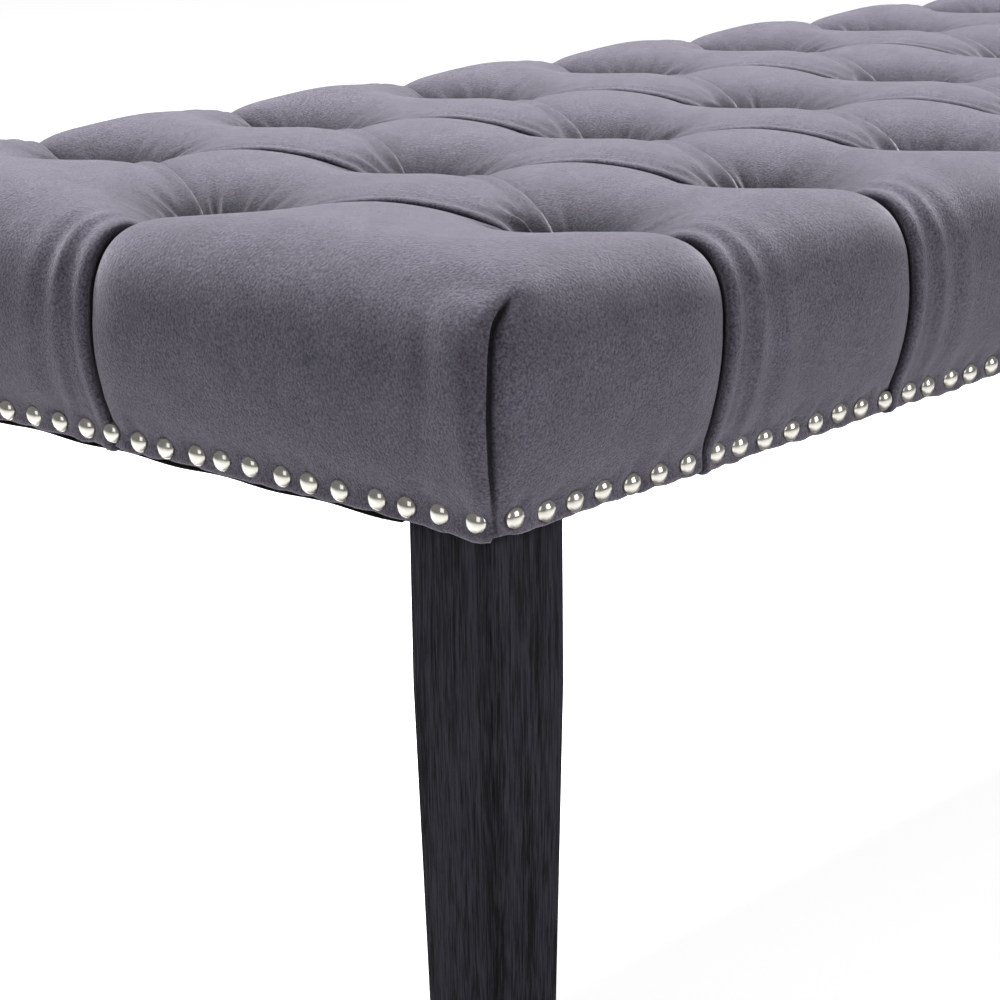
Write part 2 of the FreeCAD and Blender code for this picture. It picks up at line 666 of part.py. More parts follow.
# Black cloth under the frame, cut away round the legs.
dust_blank = doc.addObject("Part::Box", "dust_cover_blank")
DUST_X = "Sizes.seat_length / 2 - Sizes.dust_cover_inset"
DUST_Y = "Sizes.seat_width / 2 - Sizes.dust_cover_inset"
DUST_Z = "Sizes.rail_underside - Sizes.cover_wall - Sizes.dust_cover_thick"
LEG_ROOM = "(Sizes.leg_inset + Sizes.leg_top + Sizes.soft_gap)"
bind(
    dust_blank,
    Length=f"2 * ({DUST_X})", Width=f"2 * ({DUST_Y})", Height="Sizes.dust_cover_thick",
    x=f"-({DUST_X})", y=f"-({DUST_Y})", z=DUST_Z,
)
cutouts = []
for place, sx, sy in CORNERS:
    cutout = doc.addObject("Part::Box", f"{place}_cutout")
    bind(
        cutout,
        Length=LEG_ROOM, Width=LEG_ROOM, Height="3 * Sizes.dust_cover_thick",
        x=f"{sx} * (Sizes.seat_length / 2 - {LEG_ROOM} / 2) - {LEG_ROOM} / 2",
        y=f"{sy} * (Sizes.seat_width / 2 - {LEG_ROOM} / 2) - {LEG_ROOM} / 2",
        z=f"{DUST_Z} - Sizes.dust_cover_thick",
    )
    cutouts.append(cutout)
dust_cuts = doc.addObject("Part::Compound", "dust_cover_cuts")
dust_cuts.Links = cutouts + [fastener_bores]
dust_cover = doc.addObject("Part::Cut", "dust_cover")
dust_cover.Base = dust_blank
dust_cover.Tool = dust_cuts
keep(dust_cover, "dust_cover")

# Soft layers: foam with a hole at each tuft, wadding drawn into the holes, and the cover.
foam_top = foam_z + S["foam_thick"]


def foam_block(grow):
    """Foam as cut, or grown by the gap that the wadding leaves round it."""
    block = crowned_block(S["foam_inset"] - grow, foam_top + grow, S["hem_radius"])
    low_corner = Vector(-2 * half_length, -2 * half_width, foam_z)
    over_deck = Part.makeBox(4 * half_length, 4 * half_width, crest_z, low_corner)
    holes = [pin(S["foam_hole"] - grow, crest_z, Vector(x, y, underside)) for x, y in tufts]
    return block.common(over_deck).cut(holes)


def near_quarter(shapes):
    """The shapes that reach into the quarter with positive X and Y."""
    return [shape for shape in shapes if shape.BoundBox.XMax > 0 and shape.BoundBox.YMax > 0]


piece("foam_pad", foam_block(0))

wadding_inset = S["cover_wall"] + S["soft_gap"]
frame_room = Part.makeBox(2 * frame_x, 2 * frame_y, foam_z, Vector(-frame_x, -frame_y, 0))
wadding_cuts = [frame_room, foam_block(S["soft_gap"])] + near_quarter(twine_bores + nail_bores)
piece("wadding", four_quarters(quarter_cushion(wadding_inset).cut(wadding_cuts)))

open_x = half_length - S["cover_turn_in"]
open_y = half_width - S["cover_turn_in"]
open_corner = Vector(-open_x, -open_y, underside - S["band"] / 2)
turn_in = Part.makeBox(2 * open_x, 2 * open_y, S["band"], open_corner)
cover_cuts = [quarter_cushion(S["cover_wall"]), turn_in]
cover_cuts += near_quarter(twine_bores + nail_bores + staple_bores)
piece("velvet_cover", four_quarters(quarter_cushion(0).cut(cover_cuts)))


def dome(radius, height, foot):
    """Domed disc with its flat side down, standing on the origin."""
    rise = height - foot
    bulge_radius = (radius ** 2 + rise ** 2) / (2 * rise)
    half_angle = math.asin(radius / bulge_radius) / 2
    rim = Vector(radius, 0, foot)
    crown = Vector(0, 0, height)
    middle = Vector(
        bulge_radius * math.sin(half_angle), 0, height - bulge_radius * (1 - math.cos(half_angle)))
    edges = [Part.LineSegment(Vector(), Vector(radius, 0, 0))]
    if foot > 0:
        edges.append(Part.LineSegment(Vector(radius, 0, 0), rim))
    edges.append(Part.Arc(rim, middle, crown))
    edges.append(Part.LineSegment(crown, Vector()))
    return Part.Face(loop(*edges)).revolve(Vector(), UP, 360)


def placed(shape, place, direction=UP):
    copy = shape.copy()
    copy.Placement = Placement(place, Rotation(UP, direction))
    return copy


# Covered buttons at the bottom of the tufts, their twines, and the dowels under the deck.
button_z = tuft_z + S["soft_gap"]
button = dome(S["button_radius"], S["button_tall"], S["button_rim"])
piece("tuft_buttons", Part.makeCompound([placed(button, Vector(x, y, button_z)) for x, y in tufts]))
twine = pin(S["twine_radius"], button_z - deck_z, Vector())
piece("button_twines", Part.makeCompound([placed(twine, Vector(x, y, deck_z)) for x, y in tufts]))
toggle_z = deck_z - S["toggle_radius"]
toggles = []
for x, y in tufts:
    toggle_end = Vector(x - S["toggle_long"] / 2, y, toggle_z)
    toggles.append(pin(S["toggle_radius"], S["toggle_long"], toggle_end, ALONG_X))
piece("twine_toggles", Part.makeCompound(toggles))

# Decorative nails, driven through the cover and the wadding into the rails.
nail = dome(S["nail_head_radius"], S["nail_head_tall"], 0).fuse(
    pin(S["nail_shank_radius"], S["nail_shank_long"], Vector(), -UP))
for label, row in nail_rows.items():
    piece(label, Part.makeCompound([placed(nail, place, out) for place, out in row]))

# Staples that fasten the black cloth and the turned-in cover to the rails.
staple_z = cover_underside - S["dust_cover_thick"]
staples = []
for place, along in staple_places:
    crown = Part.makeBox(
        S["staple_crown"], S["staple_wire"], S["staple_wire"],
        Vector(-S["staple_crown"] / 2, -S["staple_wire"] / 2, -S["staple_wire"]))
    legs = []
    for side in (-1, 1):
        foot = Vector(side * (S["staple_crown"] - S["staple_wire"]) / 2, 0, -S["staple_wire"] / 2)
        legs.append(pin(S["staple_wire"] / 2, S["staple_leg"] + S["staple_wire"] / 2, foot))
    staple = crown.fuse(legs)
    staple.Placement = Placement(Vector(place.x, place.y, staple_z), Rotation(ALONG_X, along))
    staples.append(staple)
piece("dust_cover_staples", Part.makeCompound(staples))

# Screws of the frame and of the deck.
piece("frame_screws", Part.makeCompound([screw(at, way, frame_screw_long, 0) for at, way in frame_screws]))
piece("deck_screws", Part.makeCompound([screw(at, way, deck_screw_long, 0) for at, way in deck_screws]))

# Hanger bolts in the legs, and the tee nuts in the corner blocks that they screw into.
leg_axis = S["leg_inset"] + S["leg_top"] / 2
nut_z = underside + S["block_tall"]
bolts = []
nuts = []
for label, sx, sy in CORNERS:
    axis = Vector(sx * (half_length - leg_axis), sy * (half_width - leg_axis), 0)
    bolt_low = cover_underside - S["bolt_in_leg"]
    bolt_long = nut_z + S["nut_flange_thick"] - bolt_low
    bolts.append(pin(S["bolt_radius"], bolt_long, axis + UP * bolt_low))
    flange = pin(S["nut_flange_radius"], S["nut_flange_thick"], axis + UP * nut_z)
    barrel = pin(S["nut_barrel_radius"], S["nut_barrel_tall"], axis + UP * (nut_z - S["nut_barrel_tall"]))
    bore = pin(S["bolt_radius"] + S["bore_gap"], 2 * S["block_tall"], axis + UP * underside)
    nuts.append(flange.fuse(barrel).cut(bore))
piece("hanger_bolts", Part.makeCompound(bolts))
piece("tee_nuts", Part.makeCompound(nuts))

doc.recompute()
faults = [obj.Name for obj in doc.Objects if "Invalid" in obj.State or "Error" in obj.State]
for obj in nodes:
    if obj.Shape.isNull() or not obj.Shape.isValid() or not obj.Shape.Solids:
        faults.append(obj.Label)
if faults:
    raise ValueError("pieces that did not build: " + ", ".join(faults))
os.makedirs("parts", exist_ok=True)
for obj in nodes:
    obj.Shape.exportStep(f"parts/{obj.Label}.step")
    print(obj.Label, len(obj.Shape.Solids), round(obj.Shape.Volume / 1000, 2), "cm3")
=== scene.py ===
import math

import bpy
import numpy as np
from mathutils import Matrix, Vector


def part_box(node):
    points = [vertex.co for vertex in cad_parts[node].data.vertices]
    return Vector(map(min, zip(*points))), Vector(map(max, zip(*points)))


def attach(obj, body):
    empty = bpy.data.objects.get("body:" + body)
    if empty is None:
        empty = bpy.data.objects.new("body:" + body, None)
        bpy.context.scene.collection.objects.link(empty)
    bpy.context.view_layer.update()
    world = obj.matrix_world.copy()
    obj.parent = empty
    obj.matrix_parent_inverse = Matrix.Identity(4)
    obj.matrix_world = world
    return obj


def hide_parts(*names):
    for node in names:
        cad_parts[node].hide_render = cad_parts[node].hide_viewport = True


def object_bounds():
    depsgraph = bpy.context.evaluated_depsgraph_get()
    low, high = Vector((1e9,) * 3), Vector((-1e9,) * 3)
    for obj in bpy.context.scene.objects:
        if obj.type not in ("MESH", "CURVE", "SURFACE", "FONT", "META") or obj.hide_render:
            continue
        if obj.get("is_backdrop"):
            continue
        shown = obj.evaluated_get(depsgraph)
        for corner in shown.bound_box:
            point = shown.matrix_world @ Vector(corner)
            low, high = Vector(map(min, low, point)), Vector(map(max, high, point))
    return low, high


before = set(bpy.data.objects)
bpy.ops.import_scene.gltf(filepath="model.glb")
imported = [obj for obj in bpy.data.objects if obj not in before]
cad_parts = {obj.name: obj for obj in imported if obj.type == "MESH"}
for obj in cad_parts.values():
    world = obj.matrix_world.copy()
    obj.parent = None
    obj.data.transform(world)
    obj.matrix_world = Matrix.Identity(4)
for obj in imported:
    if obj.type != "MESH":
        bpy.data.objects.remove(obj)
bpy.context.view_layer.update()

# Velvet cover. One piece of cotton velvet is drawn down over foam and wadding by 25 buttons,
# folded into diamonds between them, pleated down the four sides and nailed along the rails.
# The spare cloth of each fold is tucked under one side, so that one lip laps over the other.
# The lengths named in this section are in millimetres.
MM = 0.001
_, cover_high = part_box("velvet_cover")
nails_low, nails_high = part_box("front_nails")
CREST_Z = cover_high.z / MM
COVER_BULGE = 15
HALF_X = cover_high.x / MM - COVER_BULGE
HALF_Y = cover_high.y / MM - COVER_BULGE
COLUMNS = 9
COLUMN = 2 * HALF_X / COLUMNS
TUFT_ROW = HALF_Y - 72
LAST_TUFT = HALF_X - COLUMN / 2
NAIL_PITCH = 18
NAIL_Z = (nails_low.z + nails_high.z) / 2 / MM

# The side profile of a pillow, from the crest to the turned-in hem: distance outside the line of
# the nails, and height.
SIDE_PROFILE = [
    (-30, 470.5), (-21, 469.8), (-11, 467.4), (-2, 463.4), (6, 457.0), (11.8, 449.0), (15.4, 439.0),
    (16.4, 428.0), (15.4, 414.0), (12.2, 399.0), (7.6, 385.0), (2.8, 374.0), (0.4, 366.5), (0.1, 361.2),
    (-0.5, 359.6), (-2.0, 358.7), (-5.0, 358.5), (-9.5, 358.5),
]
PROFILE_STEPS = 12
CREST_RADIUS, HEM_RADIUS = 26, 5


def smooth_path(points, steps):
    """Catmull-Rom curve through the points, as many steps between each pair."""
    p = np.array([points[0]] + list(points) + [points[-1]], float)
    out = []
    for k in range(1, len(p) - 2):
        for t in np.linspace(0, 1, steps, endpoint=False):
            a, b, c, d = p[k - 1 : k + 3]
            even, bent = 2 * a - 5 * b + 4 * c - d, 3 * b - a - 3 * c + d
            out.append(0.5 * (2 * b + (c - a) * t + even * t**2 + bent * t**3))
    out.append(p[-2])
    return np.array(out)


profile = smooth_path(SIDE_PROFILE, PROFILE_STEPS)
profile_run = np.concatenate([[0], np.cumsum(np.linalg.norm(np.diff(profile, axis=0), axis=1))])
PROFILE_LONG = profile_run[-1]
profile_slope = np.gradient(profile, profile_run, axis=0)
TOP_X = HALF_X + SIDE_PROFILE[0][0]
TOP_Y = HALF_Y + SIDE_PROFILE[0][0]
CORNER_ZONE = 40
LEVEL_RUN = 14


def side_at(run):
    """Outward distance, height and the surface's normal (outward, up) at a run down the side."""
    grow, z = (np.interp(run, profile_run, profile[:, k]) for k in (0, 1))
    d_out, d_up = (np.interp(run, profile_run, profile_slope[:, k]) for k in (0, 1))
    n_out = -d_up / np.hypot(d_out, d_up) * np.clip(run / LEVEL_RUN, 0, 1)
    return grow, z, n_out, np.sign(d_out) * np.sqrt(1 - n_out**2)


def along_edge(place, half_top, half_long, half_wide, grow, radius):
    """Plan point, outward direction and run left to the corner on a long edge of the ring. The last
    zone bends round the corner."""
    sign = np.where(place < 0, -1.0, 1.0)
    start = half_top - CORNER_ZONE
    share = np.clip((np.abs(place) - start) / CORNER_ZONE, 0, None)
    straight = half_long + grow - radius - start
    arc = radius * math.pi / 4
    run = CORNER_ZONE * share + (straight + arc - CORNER_ZONE) * share**2
    run = np.where(share > 0, run, 0)
    bend = np.clip((run - straight) / radius, 0, None)
    x = np.where(share > 0, start + np.minimum(run, straight) + radius * np.sin(bend), np.abs(place))
    y = half_wide + grow - radius + radius * np.cos(bend)
    to_corner = np.where(share > 0, straight + arc - run, straight + arc + start - np.abs(place))
    return sign * x, y, sign * np.sin(bend), np.cos(bend), to_corner


def ring_radius(z):
    share = np.clip((z - NAIL_Z) / (CREST_Z - NAIL_Z), 0, 1)
    return HEM_RADIUS + (CREST_RADIUS - HEM_RADIUS) * share


def bell(x, middle, width):
    return np.exp(-(((x - middle) / width) ** 2))


# Lapped corner. The cloth of the end is folded over that of the long side, and its folded edge
# stands up a little. A gap is a distance from the corner along the seat's edge, and a down is a
# run down the side.
LAP_GAP = [0, 0.8, 1.6, 2.6, 4, 6, 9, 14, 22, 34]
LAP_OVER = [0, 2.2, 4.4, 5.4, 4.6, 2.8, 1.2, 0.4, 0, 0]
LAP_RISE = [-3.4, -2.0, 0.0, 2.2, 3.8, 4.2, 3.4, 2.2, 0.8, 0]
LAP_RIPPLE = 0.7
LAP_RIPPLES = [(15, 0.1, 3.5, 1.0), (28, 0.16, 5, 0.8), (21, 0.13, 4, -0.7)]
UNDER_GAP = [0, 2.5, 6, 11, 22]
UNDER_SINK = [-3.4, -4.2, -2.9, -1.4, 0]
LAP_DOWN = [37, 46, 75, 118, 132, 145]
LAP_STRONG = [0, 1, 1, 0.85, 0.5, 0.4]
LEAN_DOWN = [36, 40, 45, 52, 62, 85, 110, 135]
LEAN = [9.5, 8.0, 3.5, -0.6, -2.0, -2.8, -1.6, 0.8]
LEAN_STARTS, LEAN_FADE = [8, 30], 18
# Painted shade at the lap: how strong it is, and where it lies on the cloth that goes under, as a distance
# from the corner and a width.
LAP_SHADE = 36
UNDER_SHADE = (1.4, 2.8)


def corner_lap(down, gap, long_side, flap, su, sv, normal):
    """How the lapped corner moves a point of the sides, and how much painted shade it adds at its folded
    edge and in the crease under it.
    """
    strong = np.interp(down, LAP_DOWN, LAP_STRONG)
    over = np.where(long_side, 0, np.interp(gap, LAP_GAP, LAP_OVER)) * strong
    lean = np.interp(down, LEAN_DOWN, LEAN) * np.exp(-gap / LEAN_FADE)
    over = over + lean * np.interp(down, LEAN_STARTS, [0, 1])
    ripple = sum(tall * bell(gap, at + spread * down, wide) for at, spread, wide, tall in LAP_RIPPLES)
    lapping = np.interp(gap, LAP_GAP, LAP_RISE) + LAP_RIPPLE * ripple
    rise = np.where(long_side, np.interp(gap, UNDER_GAP, UNDER_SINK), lapping) * strong
    aside = np.stack([-su, sv, np.zeros_like(su)], -1) * math.sqrt(0.5)
    shade = LAP_SHADE * strong * np.where(long_side, bell(gap, *UNDER_SHADE), bell(gap, 0, 1.0)) * flap
    return flap[..., None] * (aside * over[..., None] + normal * rise[..., None]), shade


FADE = 95


def fade(distance):
    """One at the edge of the top and nothing further in than FADE."""
    t = np.clip(1 - distance / FADE, 0, 1)
    return t * t * (3 - 2 * t)


def cover_base(u, v):
    """Points, normals and lap shade of the unbuttoned cover. u and v are places on the laid-out
    cloth: outside the top's edge they are the run down the side."""
    over_x, over_y = np.abs(u) - TOP_X, np.abs(v) - TOP_Y
    down = np.maximum(np.maximum(over_x, over_y), 0)
    long_side = over_y >= over_x
    grow, z, n_out, n_up = side_at(down)
    radius = ring_radius(z)
    uc, vc = np.clip(u, -TOP_X, TOP_X), np.clip(v, -TOP_Y, TOP_Y)
    fx, fy, fnx, fny, front_left = along_edge(uc, TOP_X, HALF_X, HALF_Y, grow, radius)
    ey, ex, eny, enx, end_left = along_edge(vc, TOP_Y, HALF_Y, HALF_X, grow, radius)
    sv, su = np.where(v < 0, -1.0, 1.0), np.where(u < 0, -1.0, 1.0)
    front = np.stack([fx, sv * fy, z], -1)
    front_n = np.stack([fnx * n_out, sv * fny * n_out, n_up], -1)
    end = np.stack([su * ex, ey, z], -1)
    end_n = np.stack([su * enx * n_out, eny * n_out, n_up], -1)
    flap = down > 0
    # On the top each point moves as the edge does, less and less further in.
    wf, we = fade(TOP_Y - np.abs(vc)), fade(TOP_X - np.abs(uc))
    cx, cy, _, _, _ = along_edge(np.full_like(u, TOP_X), TOP_X, HALF_X, HALF_Y, grow, radius)
    shift_f = np.stack([fx - uc, sv * fy - sv * TOP_Y], -1)
    shift_e = np.stack([su * ex - su * TOP_X, ey - vc], -1)
    shift_c = np.stack([su * (cx - TOP_X), sv * (cy - TOP_Y)], -1)
    shift = shift_f * wf[..., None] + shift_e * we[..., None] - shift_c * (wf * we)[..., None]
    top = np.stack([uc + shift[..., 0], vc + shift[..., 1], z], -1)
    top_n = np.zeros_like(top)
    top_n[..., 2] = 1
    point = np.where(flap[..., None], np.where(long_side[..., None], front, end), top)
    normal = np.where(flap[..., None], np.where(long_side[..., None], front_n, end_n), top_n)
    gap = np.where(long_side, front_left, end_left)
    move, shade = corner_lap(down, gap, long_side & flap, flap, su, sv, normal)
    return point + move, normal, shade


# Folds. The tufts stand in a middle row and a row near each long side, half a column off.
middle_row = [(COLUMN * (k + 0.5) - HALF_X, 0.0) for k in range(COLUMNS)]
side_row = [COLUMN * k - HALF_X for k in range(1, COLUMNS)]
tufts = np.array(middle_row + [(x, s * TUFT_ROW) for x in side_row for s in (-1, 1)])
TUFT_DEEP, TUFT_FLAT, TUFT_REACH = 41, 7, 27
# Wrinkles round a tuft, as waves: how many go round, two phases and height. They are patchy, and their
# hollows get painted shade.
WRINKLES = [(11, 3, 0, 0.6), (19, 5, 1, 1.0), (27, 1, 0, 0.8)]
WRINKLE_TALL, WRINKLE_SHADE, WRINKLE_SHADE_MOST = 1.6, 0.25, 0.5
WRINKLE_EVEN, WRINKLE_PATCHY = 0.6, 0.4
WRINKLE_RING, WRINKLE_SPREAD = 26, 14
# A fold is shallow in its middle and runs down into a tuft at both ends.
FOLD_DEEP, FOLD_REACH = 9.5, 61
FOLD_TUFT_DEEP, FOLD_TUFT_REACH = 33, 33
LAPPED_REACH = 0.9
FOLD_ENDS, FOLD_RISE = 26, 0.9
FOLD_RIDGES = [25, 60], [0.9, 0.15]
# Painted shade along the creases: how wide the dark line of a fold and of a pleat is, and how much it adds
# to the painted fold shade.
FOLD_CREASE, PLEAT_CREASE = 1.5, 1.6
CREASE_SHADE = 22
BLEND_POWER = 2.7

# Each fold: its two ends, and the side the lip lies on (1 is to the left of the run).
folds = []
for mx, _ in middle_row:
    for lean in (-1, 1):
        for side in (-1, 1):
            tx = mx + lean * COLUMN / 2
            if abs(tx) < LAST_TUFT:
                folds.append(((mx, 0.0), (tx, side * TUFT_ROW), lean))

# Each pleat: its head at a tuft, the way that it runs, and the side that the lip lies on.
pleats = [((x, s * TUFT_ROW), (0.0, float(s)), 1) for x in side_row for s in (-1, 1)]
pleats += [((s * LAST_TUFT, 0.0), (float(s), 0.0), s) for s in (-1, 1)]
PLEAT_LONG = [TOP_Y - TUFT_ROW, TOP_X - LAST_TUFT]
PLEAT_BOW, PLEAT_BOW_LONG, PLEAT_BOW_FROM = 2.2, 210, 30
PLEAT_HEAD, PLEAT_LIP_FROM = 12, 20
PLEAT_RIDGES, PLEAT_RIDGES_MORE, PLEAT_RIDGES_LONG = 0.8, 0.35, 120
# Down the side, as shares of the run: depth, reach under the lip and on the round side, strength.
PLEAT_DEEP = [0, 0.25, 0.5, 0.75, 0.93, 1], [12, 9.5, 9, 5.5, 1.2, 0.8]
PLEAT_LAP = [0, 0.25, 1], [60, 26, 9]
PLEAT_ROUND = [0, 0.3, 0.6, 1], [60, 46, 30, 9]
PLEAT_STRONG = [0, 0.2, 0.5, 0.85, 1], [0.15, 0.8, 1, 0.75, 0.5]

# A tuck on its lapping side, as bells: distance from the crease, width, height. The edge is pulled
# over the crease and stands up, and ridges follow it.
LIP_PULL = [(3.0, 1.7, -4.2), (5.2, 2.2, -1.2)]
LIP_EDGE = (4.0, 2.2, 2.9)
LIP_RIDGES = [(11.5, 2.8, 1.2), (7.8, 2.2, -0.7), (24, 6.0, 1.0), (17.5, 3.2, -0.6)]
LIP_STARTS = 0.8
WAVES, WAVE_LONG = 3, 160.0


def hollow(t):
    """Depth of a pillow's edge, from one at the crease to nothing at its crown: a round shoulder."""
    t = np.clip(t, 0, 1)
    return 1 - np.sqrt(1 - (1 - t) ** 2)


def wander(x, seed, longest=WAVE_LONG):
    """Slow, fixed wave from minus one to one, for what hands never make quite even."""
    total = np.zeros_like(x)
    for k in range(WAVES):
        total += np.sin(2 * math.pi * x / (longest / (1 + 0.7 * k)) + seed * (1.7 + k) + k) / (1 + k)
    return total / sum(1 / (1 + k) for k in range(WAVES))


def lip(d, reach, ridges):
    """Sideways shift and rise of a tuck's lapping side at a distance from the crease."""
    out = np.clip(d, 0, None)
    shift = sum(tall * bell(out, at, wide) for at, wide, tall in LIP_PULL)
    rise = ridges * sum(tall * bell(out, at * reach, wide) for at, wide, tall in LIP_RIDGES)
    rise = rise + LIP_EDGE[2] * bell(out, *LIP_EDGE[:2])
    on = np.clip(d / LIP_STARTS, 0, 1)
    return shift * on, rise * on


def cover_form(u, v):
    """Push-in depth, rise and sideways shift, in cloth coordinates, of every fold, pleat and tuft, and the
    painted crease shade, highest at the deep of a crease and in the hollows of the wrinkles."""
    crease_shade = np.zeros_like(u)
    deep = np.zeros_like(u)
    rise = np.zeros_like(u)
    move_u, move_v = np.zeros_like(u), np.zeros_like(u)

    def add(depth):
        nonlocal deep
        deep += np.clip(depth, 0, None) ** BLEND_POWER

    for k, (x, y) in enumerate(tufts):
        r = np.hypot(u - x, v - y)
        add(TUFT_DEEP * np.exp(-(np.clip(r - TUFT_FLAT, 0, None) / TUFT_REACH)))
        turn = np.arctan2(v - y, u - x)
        fan = sum(tall * np.sin(count * turn + own * k + fixed) for count, own, fixed, tall in WRINKLES)
        patchy = WRINKLE_EVEN + WRINKLE_PATCHY * np.sin(2 * turn + 4 * k)
        wrinkle = fan * patchy * bell(r, WRINKLE_RING, WRINKLE_SPREAD)
        rise += WRINKLE_TALL * wrinkle
        crease_shade = np.maximum(crease_shade, np.clip(-WRINKLE_SHADE * wrinkle, 0, WRINKLE_SHADE_MOST))
    for a, b, side in folds:
        run = np.subtract(b, a)
        length = math.hypot(*run)
        run = run / length
        s = (u - a[0]) * run[0] + (v - a[1]) * run[1]
        d = side * ((v - a[1]) * run[0] - (u - a[0]) * run[1])
        inside = np.clip(s, 0, length)
        away = np.hypot(s - inside, d)
        near = np.minimum(np.hypot(s, d), np.hypot(s - length, d))
        depth = FOLD_DEEP + FOLD_TUFT_DEEP * np.exp(-near / FOLD_TUFT_REACH)
        reach = np.where(d > 0, FOLD_REACH * LAPPED_REACH, FOLD_REACH)
        add(depth * hollow(away / reach))
        ends = np.clip(s / FOLD_ENDS, 0, 1) * np.clip((length - s) / FOLD_ENDS, 0, 1)
        shift, up = lip(d, 1.0, np.interp(near, *FOLD_RIDGES))
        move_u += -side * run[1] * shift * ends
        move_v += side * run[0] * shift * ends
        rise += up * ends * FOLD_RISE
        crease_shade = np.maximum(crease_shade, ends * bell(d, 0, FOLD_CREASE))
    for k, ((x, y), (rx, ry), side) in enumerate(pleats):
        s = (u - x) * rx + (v - y) * ry
        d = side * ((v - y) * rx - (u - x) * ry)
        flat = PLEAT_LONG[0] if ry else PLEAT_LONG[1]
        down = np.clip((s - flat) / PROFILE_LONG, 0, 1)
        d = d - PLEAT_BOW * wander(s, k, PLEAT_BOW_LONG) * np.clip(s / PLEAT_BOW_FROM, 0, 1)
        depth = np.interp(down, *PLEAT_DEEP) + FOLD_TUFT_DEEP * np.exp(-np.hypot(s, d) / FOLD_TUFT_REACH)
        reach = np.where(d > 0, np.interp(down, *PLEAT_LAP), np.interp(down, *PLEAT_ROUND))
        on = np.clip((s + PLEAT_HEAD) / PLEAT_HEAD, 0, 1)
        add(depth * hollow(np.hypot(np.minimum(s, 0), d) / reach) * on)
        strong = np.interp(down, *PLEAT_STRONG) * np.clip(s / PLEAT_LIP_FROM, 0, 1)
        ridges = PLEAT_RIDGES + PLEAT_RIDGES_MORE * wander(s + 40 * k, k, PLEAT_RIDGES_LONG)
        shift, up = lip(d, 1 + down, ridges)
        move_u += -side * ry * shift * strong
        move_v += side * rx * shift * strong
        rise += up * strong
        crease_shade = np.maximum(crease_shade, strong * bell(d, 0, PLEAT_CREASE))
    return deep ** (1 / BLEND_POWER), rise, move_u, move_v, crease_shade


def graded(length, widest, start, end):
    """Lines from 0 to length. Start and end each give the spacing there and how fast it grows with the
    distance from there."""
    x = np.linspace(0, length, GRADE_STEPS)
    middle = (x[1:] + x[:-1]) / 2
    spacing = np.minimum(start[0] + start[1] * middle, end[0] + end[1] * (length - middle))
    count = np.concatenate([[0], np.cumsum(np.diff(x) / np.minimum(widest, spacing))])
    lines = max(2, int(round(count[-1])))
    return np.interp(np.linspace(0, count[-1], lines + 1), count, x)


# Lines of the mesh, close together at creases and corners. The columns stand side by side along
# the seat. The rows of the top follow the zigzag of the folds, so they are spaced by share.
GRADE_STEPS = 4001
WIDEST_COLUMN, WIDEST_ROW = 3.4, 3.0
half_cell = graded(COLUMN / 2, WIDEST_COLUMN, (0.7, 0.11), (1.8, 0.1))
columns = []
for cell in range(COLUMNS - 1):
    for k, part in enumerate((COLUMN / 2 - half_cell[::-1], half_cell)):
        columns += list(middle_row[cell][0] + k * COLUMN / 2 + part)
columns = np.unique(np.round(columns, 4))
columns = columns[np.abs(columns) <= LAST_TUFT + 1e-3]
corner_lines = graded(TOP_X - LAST_TUFT, WIDEST_COLUMN, (1.8, 0.1), (0.35, 0.08))
columns = np.concatenate([-(LAST_TUFT + corner_lines)[::-1], columns, LAST_TUFT + corner_lines])
columns = np.unique(np.round(columns, 4))
columns[[0, -1]] = -TOP_X, TOP_X

edge_rows = graded(1.0, 0.026, (0.006, 0.1), (0.005, 0.08))
middle_rows = graded(1.0, 0.022, (0.006, 0.09), (0.006, 0.09))
zigzag = np.abs((columns + HALF_X) / COLUMN % 1 - 0.5) * 2 * TUFT_ROW
zigzag = np.where(np.abs(columns) > LAST_TUFT, 0, zigzag)
top_v = np.concatenate([
    -TOP_Y + (TOP_Y - zigzag)[:, None] * edge_rows,
    (-zigzag[:, None] + 2 * zigzag[:, None] * middle_rows)[:, 1:-1],
    zigzag[:, None] + (TOP_Y - zigzag)[:, None] * (1 - edge_rows[::-1]),
], axis=1)
top_u = np.repeat(columns[:, None], top_v.shape[1], axis=1)
side_rows = graded(PROFILE_LONG, WIDEST_ROW, (WIDEST_ROW, 0), (1.2, 0.05))
end_v = np.concatenate([-TOP_Y + TOP_Y * edge_rows, TOP_Y * (1 - edge_rows[::-1])[1:]])

# The cloth's five patches: the top, then a long side and an end for each sign. In two of them u
# and v turn the other way, so their faces do too.
TURNED = (1, 4)
patches = [(top_u, top_v)]
for s in (-1, 1):
    beside_u, beside_v = np.meshgrid(columns, TOP_Y + side_rows, indexing="ij")
    patches.append((beside_u, s * beside_v))
    beyond_v, beyond_u = np.meshgrid(end_v, TOP_X + side_rows, indexing="ij")
    patches.append((s * beyond_u, beyond_v))

# Nail places along a long side and along an end, uneven by hand.
NAIL_WANDER, NAIL_WANDER_MOST, NAIL_LIFT = 1.1, 2, 0.5
HAND_SEED = 7
chance = np.random.default_rng(HAND_SEED)
long_count, end_count = (int((2 * half - NAIL_PITCH) / NAIL_PITCH + 1e-6) + 1 for half in (HALF_X, HALF_Y))
nail_rows = {}
for side, count in (("front", long_count), ("rear", long_count), ("left", end_count), ("right", end_count)):
    even = (np.arange(count) - (count - 1) / 2) * NAIL_PITCH
    places = even + chance.normal(0, NAIL_WANDER, count).clip(-NAIL_WANDER_MOST, NAIL_WANDER_MOST)
    nail_rows[side] = places, NAIL_Z + chance.normal(0, NAIL_LIFT, count)
DENT_WIDE, DENT_DEEP = 6.0, 1.3
PUCKER, PUCKER_RING, PUCKER_WIDE = 0.35, 9, 3.5
DENTS_END = 20
HEM_WAVE, HEM_WAVE_LONG, HEM_SEED = 0.6, 95, 3
HEM_FROM, HEM_OVER = 2, 8


